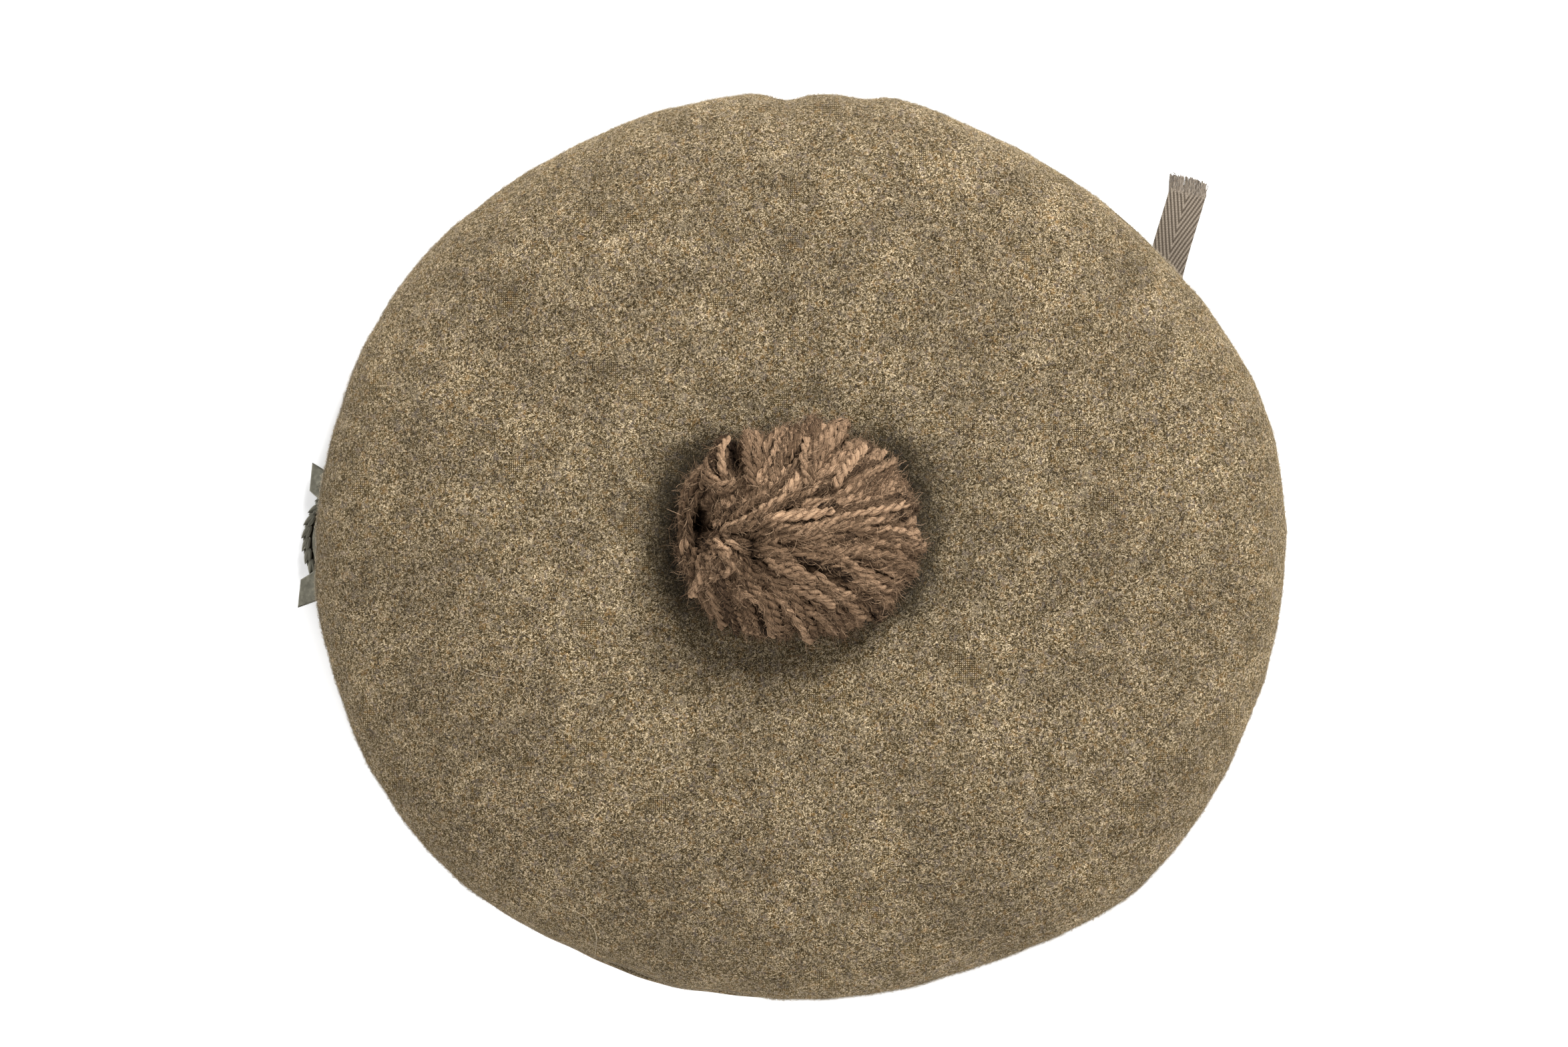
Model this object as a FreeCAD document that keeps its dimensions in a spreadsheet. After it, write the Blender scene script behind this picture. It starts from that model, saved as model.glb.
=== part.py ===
"""A khaki wool tam o'shanter: a flat round bonnet with a wool pompom (toorie), a metal
badge pinned under the rim and a drawtape whose two tails leave the back of the headband.

The bonnet lies flat on its headband, as it is stored.  Millimetres, +Z up.  The origin is
the centre of the head opening, on the surface that the band stands on.  The badge is on
the -X side, and the drawtape leaves the band on the +X side.
"""
import FreeCAD, Part
import math
import os
import Sketcher

# ------------------------------------------------------------------ driving dimensions
# (alias, value, what it is).  Lengths are millimetres and angles are degrees.
DIMENSIONS = [
    # crown: plan half sizes and the heights of its cross-section
    ("crown_rx", 145.4, "half the crown's size along X"),
    ("crown_ry", 136.0, "half the crown's size along Y"),
    ("crown_top", 40.0, "height of the crown's flat top"),
    ("rim_height", 17.5, "height of the crown's widest line"),
    ("seam_height", 14.2, "height of the seam between the top and under panels"),
    ("cloth", 1.6, "thickness of the milled wool serge"),
    ("lining_cloth", 0.6, "thickness of the cotton lining"),
    # head opening and the layers of the band, from the inside out
    ("head_radius", 90.7, "inside radius of the head opening, 570 mm round"),
    ("band_height", 32.0, "height of the headband"),
    ("binding_height", 7.0, "height of the binding on the band's lower edge"),
    ("binding_cloth", 0.6, "thickness of the edge binding"),
    ("sweatband_inner", 91.4, "inside radius of the sweatband"),
    ("sweatband_cloth", 1.0, "thickness of the sweatband"),
    ("band_outer", 95.0, "outside radius of the headband"),
    # drawtape
    ("tape_width", 11.0, "width of the herringbone drawtape"),
    ("tape_cloth", 0.6, "thickness of the drawtape"),
    ("tape_inner", 92.6, "inside radius of the tape in its channel"),
    ("tape_base", 9.0, "height of the tape's lower edge in its channel"),
    ("slit_angle", 8.0, "angle of each exit slit from the back seam"),
    ("slit_width", 1.4, "width of an exit slit"),
    # toorie
    ("toorie_y", 3.5, "how far the toorie is sewn off the crown's centre"),
    ("toorie_rx", 36.4, "half the toorie's size along X"),
    ("toorie_ry", 33.2, "half the toorie's size along Y"),
    ("toorie_rz", 17.0, "half the toorie's height"),
    ("toorie_gap", 1.4, "room under the toorie for its rocking"),
    ("dimple_depth", 4.0, "depth of the hollow that the toorie pulls in the crown"),
    ("dimple_floor", 20.0, "radius of the hollow's floor"),
    ("dimple_rim", 52.0, "radius of the hollow's rim"),
    ("shank_radius", 2.0, "radius of the thread shank under the toorie"),
    # badge, in its own plane: u across it, v towards the rim
    ("badge_x", -127.0, "place of the badge's centre along X"),
    ("badge_y", 0.5, "place of the badge's centre along Y"),
    ("badge_z", 16.2, "height of the badge's centre, at its back"),
    ("badge_yaw", 264.3, "turn of the badge about Z"),
    ("badge_lean", 200.9, "turn of the badge about its own width"),
    ("badge_plate", 1.2, "thickness of the badge's cross"),
    ("badge_bevel", 0.35, "bevel round the cross's edges"),
    ("badge_half_width", 21.9, "half the badge's width"),
    ("badge_half_height", 23.9, "half the cross's height"),
    ("arm_inner", 13.4, "inner corner of an arm's end"),
    ("wreath_rx", 21.0, "half the wreath's width"),
    ("wreath_ry", 24.3, "half the wreath's height"),
    ("wreath_band", 3.4, "width of the wreath's band"),
    ("wreath_depth", 1.9, "depth of the wreath"),
    ("wreath_groove", 1.0, "width and depth of the hollow in the wreath's back"),
    ("leaf_length", 6.0, "length of a leaf of the wreath"),
    ("leaf_width", 3.0, "width of a leaf"),
    ("leaf_rise", 1.1, "height of a leaf's rib"),
    ("leaf_pairs", 36, "pairs of leaves round the wreath"),
    ("badge_gap", 0.1, "fitting gap between the badge's pieces"),
    ("field_plate", 0.8, "thickness of the pierced field inside the wreath"),
    ("field_holes", 20, "holes round the field"),
    ("boss_radius", 9.0, "radius of the badge's centre boss"),
    ("boss_depth", 3.0, "depth of the centre boss"),
    ("lug_spacing", 18.0, "distance between the badge's two lugs"),
    ("lug_wire", 0.6, "radius of the lugs' wire"),
    ("lug_eye", 1.5, "radius of a lug's eye, to the middle of its wire"),
    ("lug_reach", 8.2, "distance of a lug's eye behind the badge"),
]

DOC = FreeCAD.newDocument("Bonnet")
SHEET = DOC.addObject("Spreadsheet::Sheet", "dim")
for row, (alias, value, note) in enumerate(DIMENSIONS, start=1):
    SHEET.set(f"A{row}", alias)
    SHEET.set(f"B{row}", str(value))
    SHEET.set(f"C{row}", note)
    SHEET.setAlias(f"B{row}", alias)
DOC.recompute()

VALUE = {alias: float(SHEET.get(alias)) for alias, _, _ in DIMENSIONS}
NODES = []
STITCH_GAP = 0.05
LAYER_GAP = 0.1
REST_LIFT = 0.75


# ----------------------------------------------------------------------------- helpers
def bind(thing, **expressions):
    """Binds properties of thing to expressions in the sheet's aliases."""
    for name, expression in expressions.items():
        thing.setExpression(name.replace("__", "."), str(expression))
    return thing


def node(thing, label):
    """Marks thing as the finished sub-part that goes to parts/label.step."""
    thing.Label = label
    NODES.append(thing)
    return thing


def cylinder(name, radius, height, z=0.0, x=0.0, y=0.0):
    made = DOC.addObject("Part::Cylinder", name)
    bind(made, Radius=radius, Height=height, Placement__Base__z=z)
    return bind(made, Placement__Base__x=x, Placement__Base__y=y)


def cone(name, low, high, height, z, x=0.0, y=0.0):
    made = DOC.addObject("Part::Cone", name)
    bind(made, Radius1=low, Radius2=high, Height=height, Placement__Base__z=z)
    return bind(made, Placement__Base__x=x, Placement__Base__y=y)


def cut(name, base, tool):
    made = DOC.addObject("Part::Cut", name)
    made.Base = base
    made.Tool = tool
    return made


def fuse(name, shapes):
    made = DOC.addObject("Part::MultiFuse", name)
    made.Shapes = shapes
    return made


def oval_loft(name, sections):
    """A solid through level ovals, each given as (half size X, half size Y, height)."""
    ovals = []
    for i, (rx, ry, z) in enumerate(sections):
        oval = DOC.addObject("Part::Ellipse", f"{name}_oval_{i}")
        bind(oval, MajorRadius=rx, MinorRadius=ry, Placement__Base__z=z)
        ovals.append(oval)
    made = DOC.addObject("Part::Loft", name)
    made.Sections = ovals
    made.Solid = True
    made.Ruled = True
    return made


def origin_plane(body, role):
    return [f for f in body.Origin.OriginFeatures if f.Role == role][0]


def polygon(body, role, points):
    """A closed outline on one of body's origin planes, each corner held by two bound sizes."""
    sketch = body.newObject("Sketcher::SketchObject", f"{body.Name}_outline")
    sketch.AttachmentSupport = [(origin_plane(body, role), "")]
    sketch.MapMode = "FlatFace"
    start = [FreeCAD.Vector(evaluate(x), evaluate(y), 0) for x, y in points]
    for i, corner in enumerate(start):
        following = start[(i + 1) % len(start)]
        sketch.addGeometry(Part.LineSegment(corner, following), False)
    for i in range(len(points)):
        sketch.addConstraint(Sketcher.Constraint("Coincident", i, 2, (i + 1) % len(points), 1))
    for i, (x, y) in enumerate(points):
        hold(sketch, "DistanceX", i, x)
        hold(sketch, "DistanceY", i, y)
    return sketch


def hold(sketch, kind, corner, expression):
    """Holds one coordinate of a corner: on the axis where it is 0, else at a bound distance."""
    if evaluate(expression) == 0:
        axis = -2 if kind == "DistanceX" else -1
        sketch.addConstraint(Sketcher.Constraint("PointOnObject", corner, 1, axis))
        return
    size = Sketcher.Constraint(kind, corner, 1, evaluate(expression))
    index = sketch.addConstraint(size)
    sketch.setExpression(f"Constraints[{index}]", str(expression))


def evaluate(expression):
    """The present value of an expression in the sheet's aliases."""
    return float(SHEET.evalExpression(str(expression).replace("dim.", "")))


def turned(label, points, angle="360", turn=0.0):
    """A body turned about Z from an outline of (radius, height) corners."""
    body = DOC.addObject("PartDesign::Body", label)
    sketch = polygon(body, "XZ_Plane", points)
    spin = body.newObject("PartDesign::Revolution", f"{label}_turn")
    spin.Profile = sketch
    spin.ReferenceAxis = (sketch, ["V_Axis"])
    spin.Midplane = True
    bind(spin, Angle=angle)
    sketch.Visibility = False
    body.Placement = FreeCAD.Placement(
        FreeCAD.Vector(), FreeCAD.Rotation(FreeCAD.Vector(0, 0, 1), turn)
    )
    return body


def ring(inner, outer, low, high):
    """The four corners of a rectangular ring section."""
    return [(inner, low), (outer, low), (outer, high), (inner, high)]


def feature(label, shape):
    """A sub-part whose shape repeats or twists, made with Part's own functions."""
    made = DOC.addObject("Part::Feature", label.title().replace("_", ""))
    made.Shape = shape
    return node(made, label)


def around(shape, angle, centre=FreeCAD.Vector()):
    """A copy of shape turned about the vertical through centre."""
    copy = shape.copy()
    copy.rotate(centre, FreeCAD.Vector(0, 0, 1), angle)
    return copy


# ------------------------------------------------------------------------------- crown
def crown_sections(inset, drop):
    """The crown's level ovals from the seam to its flat top, inset and lowered for a layer.

    Each row holds the oval's distance inside the rim, how far it has turned from an oval to
    the band's circle (0 to 1), and its height below the top.
    """
    rows = [
        (1.6, 0.0, "dim.crown_top - dim.seam_height", 0.0),
        (0.0, 0.0, "dim.crown_top - dim.rim_height", 0.0),
        (1.4, 0.0, "16", 0.3),
        (11.9, 0.12, "9", 0.8),
        (30.0, 0.5, "3", 1.0),
    ]
    sections = []
    for back, round_share, below, share in rows:
        oval_share = 1 - round_share
        mean = f"(dim.crown_rx + dim.crown_ry) / 2 * {round_share}"
        inwards = f"{mean} - {back} - {inset} * (1 - {share} * 0.6)"
        rx = f"(dim.crown_rx * {oval_share} + {inwards})"
        ry = f"(dim.crown_ry * {oval_share} + {inwards})"
        sections.append((rx, ry, f"dim.crown_top - ({below}) - ({drop}) * {share}"))
    shoulder = f"dim.band_outer + 2 - {inset} * 0.25"
    sections.append((shoulder, shoulder, f"dim.crown_top - 0.4 - ({drop})"))
    return sections


def make_crown_top_panel():
    """The round top of the crown: a domed shell of serge with the toorie's hollow in it."""
    outside = crown_sections("0", "0") + [("60", "60", "dim.crown_top")]
    outer = oval_loft("crown_outside", outside)
    inside = crown_sections("dim.cloth", "dim.cloth") + [("60", "60", "dim.crown_top - dim.cloth")]
    below_seam = (inside[0][0], inside[0][1], "dim.seam_height - 0.4")
    inner = oval_loft("crown_inside", [below_seam] + inside[1:])
    floor = "dim.dimple_floor"
    rim = "dim.dimple_rim"
    depth = "dim.dimple_depth"
    hollow = cone("hollow", floor, rim, depth, f"dim.crown_top - {depth}", y="dim.toorie_y")
    under = "dim.crown_top - dim.dimple_depth - dim.cloth"
    bulge = cone("hollow_under", floor, rim, depth, under, y="dim.toorie_y")
    shell = cut("crown_shell", cut("crown_dimpled", outer, hollow), cut("crown_core", inner, bulge))
    hole = cylinder("shank_hole", "dim.shank_radius + 0.7", "10", "dim.crown_top - 9", y="dim.toorie_y")
    return node(cut("crown_pierced", shell, hole), "crown_top_panel")


RIM_X = "(dim.crown_rx - 1.6)"
RIM_Y = "(dim.crown_ry - 1.6)"
UNDER_HOLE = "(dim.band_outer + 0.3)"


def make_crown_under_panel():
    """The ring of serge between the rim seam and the top of the headband."""
    edge_low = "dim.seam_height - 0.3 - dim.cloth"
    edge_high = "dim.seam_height - 0.3"
    top = "dim.band_height - 0.1"
    upper = oval_loft(
        "under_panel_upper",
        [
            (RIM_X, RIM_Y, edge_low),
            (RIM_X, RIM_Y, edge_high),
            (f"{RIM_X} - 2.4", f"{RIM_Y} - 2.4", f"{edge_high} + 0.05"),
            (UNDER_HOLE, UNDER_HOLE, top),
        ],
    )
    lower = oval_loft(
        "under_panel_lower",
        [
            (f"{RIM_X} - dim.cloth", f"{RIM_Y} - dim.cloth", f"{edge_low} - 0.1"),
            (UNDER_HOLE, UNDER_HOLE, f"{top} - dim.cloth"),
        ],
    )
    cone_shell = cut("under_panel_cone", upper, lower)
    opening = cylinder("under_panel_opening", UNDER_HOLE, "dim.crown_top")
    ring_shell = cut("under_panel_ring", cone_shell, opening)
    return node(cut("under_panel_pierced", ring_shell, lug_holes("under_panel")), "crown_under_panel")


def make_lining():
    """The cotton lining: a loose round top and a ring over the under panel."""
    inset = "(dim.cloth + 2.2)"
    drop = "(dim.cloth + 0.5)"
    outside = crown_sections(inset, drop)[1:]
    outside[0] = (outside[0][0], outside[0][1], "dim.rim_height - 0.9")
    outside.append(("60", "60", "dim.band_height + 0.8"))
    outer = oval_loft("lining_outside", outside)
    thick = "dim.lining_cloth"
    inside = [(f"{rx} - {thick}", f"{ry} - {thick}", f"{z} - {thick}") for rx, ry, z in outside[1:]]
    start = (f"{outside[0][0]} - {thick}", f"{outside[0][1]} - {thick}", f"{outside[0][2]} - 0.2")
    inner = oval_loft("lining_inside", [start] + inside)
    node(cut("lining_shell", outer, inner), "crown_lining_top")

    edge_x = "dim.crown_rx - 5.9"
    edge_y = "dim.crown_ry - 5.9"
    hole = "dim.band_outer + 1.5"
    low = "dim.rim_height - 0.9"
    high = "dim.band_height + 0.2"
    upper = oval_loft(
        "lining_under_upper",
        [(edge_x, edge_y, low), (edge_x, edge_y, f"{low} + {thick}"), (hole, hole, f"{high} + {thick}")],
    )
    lower = oval_loft(
        "lining_under_lower",
        [(f"{edge_x} - 0.4", f"{edge_y} - 0.4", f"{low} - 0.05"), (hole, hole, high)],
    )
    opening = cylinder("lining_opening", hole, "dim.crown_top")
    ring_shell = cut("lining_under_ring", cut("lining_under_cone", upper, lower), opening)
    pierced = cut("lining_under_pierced", ring_shell, lug_holes("lining_under"))
    node(pierced, "crown_lining_under")


def make_seam_threads():
    """The thread rings that hold the two panels together and the crown to its band."""
    size = 0.4
    rx, ry = VALUE["crown_rx"] - 3.6, VALUE["crown_ry"] - 3.6
    base = FreeCAD.Vector(0, 0, VALUE["seam_height"] + 1.4)
    rings = []
    for grow in (0.0, -size):
        oval = Part.Ellipse(base, rx + grow, ry + grow)
        face = Part.Face(Part.Wire(oval.toShape()))
        rings.append(face.extrude(FreeCAD.Vector(0, 0, size)))
    feature("rim_seam_thread", rings[0].cut(rings[1]))
    torus = DOC.addObject("Part::Torus", "BandSeamThread")
    bind(torus, Radius1="dim.band_outer + 0.2", Radius2="0.33", Placement__Base__z="dim.band_height + 0.45")
    node(torus, "band_seam_thread")


# ------------------------------------------------------------------ headband and drawtape
def slit_boxes(name, width, low, high, inner, outer):
    """Two upright boxes, one at each exit slit, across the stated radii."""
    boxes = []
    for side, sign in (("left", 1), ("right", -1)):
        box = DOC.addObject("Part::Box", f"{name}_{side}")
        bind(box, Length=f"{outer} - ({inner})", Width=width, Height=f"{high} - ({low})")
        turn = sign * VALUE["slit_angle"]
        offset = FreeCAD.Vector(evaluate(inner), -evaluate(width) / 2, evaluate(low))
        spin = FreeCAD.Rotation(FreeCAD.Vector(0, 0, 1), turn)
        box.Placement = FreeCAD.Placement(spin.multVec(offset), spin)
        boxes.append(box)
    return boxes


def make_headband():
    """The serge headband, with a slit each side of the back seam for the drawtape."""
    inner = "dim.band_outer - dim.cloth"
    bottom = "dim.binding_cloth + 0.3"
    body = turned("headband_ring", ring(inner, "dim.band_outer", bottom, "dim.band_height"))
    low = "dim.tape_base - 0.5"
    high = "dim.tape_base + dim.tape_width + 0.5"
    boxes = slit_boxes("slit", "dim.slit_width", low, high, f"{inner} - 1", "dim.band_outer + 1")
    slits = fuse("slits", boxes)
    node(cut("headband_cut", body, slits), "headband")


def make_sweatband():
    inner = "dim.sweatband_inner"
    outer = "dim.sweatband_inner + dim.sweatband_cloth"
    corners = ring(inner, outer, "dim.binding_cloth + 0.3", "dim.band_height - 1")
    node(turned("sweatband_ring", corners), "sweatband")


def make_edge_binding():
    """A folded tape round the band's lower edge; its inside is the head opening."""
    inner = "dim.head_radius"
    outer = "(dim.band_outer + dim.binding_cloth + 0.1)"
    tape = "dim.binding_cloth"
    top = "dim.binding_height"
    corners = [
        (inner, "0"),
        (outer, "0"),
        (outer, top),
        (f"{outer} - {tape}", top),
        (f"{outer} - {tape}", tape),
        (f"{inner} + {tape}", tape),
        (f"{inner} + {tape}", top),
        (inner, top),
    ]
    node(turned("edge_binding_ring", corners), "edge_binding")


def make_size_tape():
    """The drawtape in its channel, with a short stub out of each slit."""
    outer = "dim.tape_inner + dim.tape_cloth"
    high = "dim.tape_base + dim.tape_width"
    corners = ring("dim.tape_inner", outer, "dim.tape_base", high)
    run = turned("size_tape_run", corners, angle="360 - 2 * dim.slit_angle", turn=180)
    end = "dim.band_outer + 1.2"
    stubs = slit_boxes("stub", "dim.tape_cloth", "dim.tape_base", high, "dim.tape_inner", end)
    node(fuse("size_tape_whole", [run] + stubs), "size_tape")


def make_slit_stitching():
    """The buttonhole stitching round each slit, a flat frame on the band's face."""
    inner = "dim.band_outer + 0.05"
    outer = "dim.band_outer + 0.55"
    low = "dim.tape_base"
    high = "dim.tape_base + dim.tape_width"
    frames = slit_boxes("frame", "4.6", f"{low} - 1.4", f"{high} + 1.4", inner, outer)
    mouths = slit_boxes("mouth", "dim.slit_width", f"{low} - 0.4", f"{high} + 0.4", inner, outer)
    for frame, mouth, side in zip(frames, mouths, ("left", "right")):
        node(cut(f"slit_frame_{side}", frame, mouth), f"slit_stitching_{side}")


def make_stitch_rings():
    """Short stitches in rows: round the sweatband, round the binding and up the back seam."""
    thick, high, long = 0.25, 0.5, 3.2
    rows = (
        ("sweatband_stitches", VALUE["sweatband_inner"] - STITCH_GAP - thick, VALUE["band_height"] - 3.5),
        ("binding_stitches", VALUE["band_outer"] + 0.7 + STITCH_GAP, VALUE["binding_height"] - 1.6),
    )
    count = 60
    for label, radius, height in rows:
        block = Part.makeBox(thick, long, high, FreeCAD.Vector(radius, -long / 2, height))
        feature(label, Part.Compound([around(block, 3 + i * 360 / count) for i in range(count)]))
    upright = 2.2
    pitch = 3.4
    low = VALUE["binding_height"] + 1.5
    radius = VALUE["band_outer"] + STITCH_GAP
    blocks = [
        Part.makeBox(thick, high, upright, FreeCAD.Vector(radius, -high / 2, low + i * pitch))
        for i in range(6)
    ]
    feature("back_seam_stitches", Part.Compound(blocks))


def make_size_label():
    """A blank woven label on the sweatband, opposite the badge."""
    inner = "dim.sweatband_inner - 0.35"
    outer = "dim.sweatband_inner - 0.05"
    body = turned("size_label_patch", ring(inner, outer, "11", "23"), angle="14", turn=24)
    node(body, "size_label")


# Centre lines of the two tails: (x, y, height of the tape's middle, turn of the tape from
# upright to flat in degrees).  The left tail comes out past the rim; the right one stays under it.
LEFT_TAIL = [
    (96.7, 13.6, 14.5, 0),
    (99.4, 18.4, 12.0, 30),
    (101.2, 27.0, 8.6, 65),
    (102.8, 40.0, 6.2, 88),
    (108.8, 78.0, 3.4, 90),
    (117.8, 108.6, 1.2, 90),
]
RIGHT_TAIL = [
    (96.7, -13.6, 14.5, 0),
    (99.4, -18.4, 11.6, 30),
    (101.6, -27.0, 6.8, 65),
    (103.4, -40.0, 3.2, 88),
    (101.5, -66.0, 0.75, 90),
    (93.0, -92.0, 0.75, 90),
]


def tape_section(here, before, after, twist, side):
    """The tape's rectangular section at a point, square to its run."""
    run = (after - before)
    run.z = 0
    run.normalize()
    up = FreeCAD.Vector(0, 0, 1)
    across = run.cross(up)
    angle = math.radians(twist)
    wide = up * math.cos(angle) + across * (math.sin(angle) * side)
    thin = run.cross(wide)
    half, thick = wide * (VALUE["tape_width"] / 2), thin * (VALUE["tape_cloth"] / 2)
    corners = [here + half + thick, here - half + thick, here - half - thick, here + half - thick]
    return Part.makePolygon(corners + corners[:1])


def make_tail(label, rows, side, sections=32):
    """One tail: tape sections along a smooth line, turning from upright to flat."""
    knots = [FreeCAD.Vector(x, y, z) for x, y, z, _ in rows]
    twists = [FreeCAD.Vector(i, twist / 10, 0) for i, (_, _, _, twist) in enumerate(rows)]
    middle, turn = Part.BSplineCurve(), Part.BSplineCurve()
    steps = [i / (len(rows) - 1) for i in range(len(rows))]
    middle.interpolate(Points=knots, Parameters=steps)
    turn.interpolate(Points=twists, Parameters=steps)
    places = [i / (sections - 1) for i in range(sections)]
    points = [middle.value(place) for place in places]
    wires = []
    for i, place in enumerate(places):
        before, after = points[max(i - 1, 0)], points[min(i + 1, sections - 1)]
        twist = max(0.0, min(90.0, turn.value(place).y * 10))
        lift = FreeCAD.Vector(0, 0, max(0.0, REST_LIFT - points[i].z))
        wires.append(tape_section(points[i] + lift, before, after, twist, side))
    feature(label, Part.makeLoft(wires, True, True))


# ------------------------------------------------------------------------------ toorie
FLOOR = "(dim.crown_top - dim.dimple_depth)"
TOORIE_BASE = f"({FLOOR} + dim.toorie_gap)"
CORE_FOOT = f"({FLOOR} + 14.2)"


def make_toorie():
    """The pompom, the cord bound round its middle, and the shank that sews it on."""
    foot = f"({FLOOR} - dim.cloth + 0.45)"
    shank = cylinder("shank", "dim.shank_radius", f"{CORE_FOOT} - 1 - {foot}", foot, y="dim.toorie_y")
    node(shank, "toorie_shank")
    ball = DOC.addObject("Part::Ellipsoid", "toorie_ball")
    bind(ball, Radius1="dim.toorie_rz", Radius2="dim.toorie_rx", Radius3="dim.toorie_ry")
    bind(ball, Angle1="-90", Angle2="90", Angle3="360")
    bind(ball, Placement__Base__y="dim.toorie_y", Placement__Base__z=f"{TOORIE_BASE} + dim.toorie_rz")
    throat_high = f"{CORE_FOOT} - {FLOOR}"
    throat = cylinder("toorie_throat", "dim.shank_radius + 3.6", throat_high, FLOOR, y="dim.toorie_y")
    core = cylinder("toorie_core", "3.6", "6", CORE_FOOT, y="dim.toorie_y")
    node(cut("toorie_hollowed", cut("toorie_open", ball, throat), core), "toorie_yarn")
    tie = cylinder("tie", "3.5", "5.8", f"{CORE_FOOT} + 0.1", y="dim.toorie_y")
    node(tie, "toorie_tie")
    inside = "(dim.crown_top - dim.dimple_depth - dim.cloth)"
    patch = cylinder("patch", "14", "0.8", f"{inside} - 0.95", y="dim.toorie_y")
    node(patch, "toorie_patch")
    level = evaluate(f"{inside} - 1.45")
    middle = FreeCAD.Vector(0, VALUE["toorie_y"], level)
    bar = Part.makeBox(12, 0.9, 0.45, middle - FreeCAD.Vector(6, 0.45, 0))
    feature("toorie_anchor_stitches", around(bar, 45, middle).fuse(around(bar, -45, middle)))


# ------------------------------------------------------------------------------- badge
def badge_place(u=0.0, v=0.0, face=0.0):
    """Placement of a point of the badge's own frame: u across, v to the rim, face outwards."""
    spin = FreeCAD.Rotation(VALUE["badge_yaw"], 0, VALUE["badge_lean"])
    base = FreeCAD.Vector(VALUE["badge_x"], VALUE["badge_y"], VALUE["badge_z"])
    return FreeCAD.Placement(base + spin.multVec(FreeCAD.Vector(u, v, face)), spin)


def lug_holes(name):
    """Two rods where the lugs go through a layer, to be cut from it."""
    rods = []
    for side, sign in (("left", -1), ("right", 1)):
        rod = DOC.addObject("Part::Cylinder", f"{name}_lug_hole_{side}")
        bind(rod, Radius="dim.lug_wire + 0.3", Height="14")
        rod.Placement = badge_place(sign * VALUE["lug_spacing"] / 2, 0, -12)
        rods.append(rod)
    return fuse(f"{name}_lug_holes", rods)


def make_badge_cross():
    """A plain cross of four flared arms, its outline mirrored from one quarter."""
    end = "dim.badge_half_height"
    wide = "dim.badge_half_width"
    quarter = [
        ("7.2", "0"),
        (f"{wide} - 2.8", f"{end} - 6.4"),
        (wide, end),
        ("dim.arm_inner", end),
        ("dim.arm_inner - 2", f"{end} - 2.9"),
        ("0", "8.2"),
    ]
    outline = list(quarter)
    outline += [(f"-1 * ({u})", v) for u, v in reversed(quarter[:-1])]
    outline += [(f"-1 * ({u})", f"-1 * ({v})") for u, v in quarter[1:]]
    outline += [(u, f"-1 * ({v})") for u, v in reversed(quarter[1:-1])]
    body = DOC.addObject("PartDesign::Body", "badge_cross_body")
    pad = body.newObject("PartDesign::Pad", "badge_cross_plate")
    pad.Profile = polygon(body, "XY_Plane", outline)
    bind(pad, Length="dim.badge_plate")
    DOC.recompute()
    bevel = body.newObject("PartDesign::Chamfer", "badge_cross_bevel")
    flat = [i for i, edge in enumerate(pad.Shape.Edges, start=1) if edge.BoundBox.ZLength < 1e-6]
    bevel.Base = (pad, [f"Edge{i}" for i in flat])
    bind(bevel, Size="dim.badge_bevel")
    body.Tip = bevel
    body.Placement = badge_place()
    return body


def oval_prism(name, shrink, depth, base):
    """An upright solid on the wreath's oval, made smaller all round by shrink."""
    oval = DOC.addObject("Part::Ellipse", f"{name}_oval")
    bind(oval, MajorRadius=f"dim.wreath_ry - ({shrink})", MinorRadius=f"dim.wreath_rx - ({shrink})")
    solid = DOC.addObject("Part::Extrusion", name)
    solid.Base = oval
    solid.Dir = FreeCAD.Vector(0, 0, 1)
    solid.Solid = True
    bind(solid, LengthFwd=depth, Placement__Base__z=base)
    return solid


def leaf(lean):
    """A pointed leaf that lies along +X, its root at the origin, thickest along its rib."""
    long, half = VALUE["leaf_length"], VALUE["leaf_width"] / 2
    edge = [(0, 0), (long * 0.3, half), (long * 0.6, half * 0.85), (long, 0)]
    edge += [(long * 0.6, -half * 0.85), (long * 0.3, -half)]
    high = VALUE["leaf_rise"]
    rib = FreeCAD.Vector(long * 0.42, 0, high)
    corners = [FreeCAD.Vector(x, y, 0) for x, y in edge]
    faces = [Part.Face(Part.makePolygon(corners + corners[:1]))]
    for i, corner in enumerate(corners):
        following = corners[(i + 1) % len(corners)]
        faces.append(Part.Face(Part.makePolygon([corner, following, rib, corner])))
    solid = Part.Solid(Part.Shell(faces))
    solid.rotate(FreeCAD.Vector(), FreeCAD.Vector(0, 0, 1), lean)
    return solid


def leaf_places():
    """Points round the wreath, one for each pair of leaves: (x, y, direction)."""
    rx = VALUE["wreath_rx"] - VALUE["wreath_band"] / 2
    ry = VALUE["wreath_ry"] - VALUE["wreath_band"] / 2
    count = int(VALUE["leaf_pairs"])
    places = []
    for i in range(count):
        angle = -2 * math.pi * i / count
        along = math.degrees(math.atan2(-ry * math.cos(angle), rx * math.sin(angle)))
        places.append((rx * math.cos(angle), ry * math.sin(angle), along))
    return places


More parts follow.
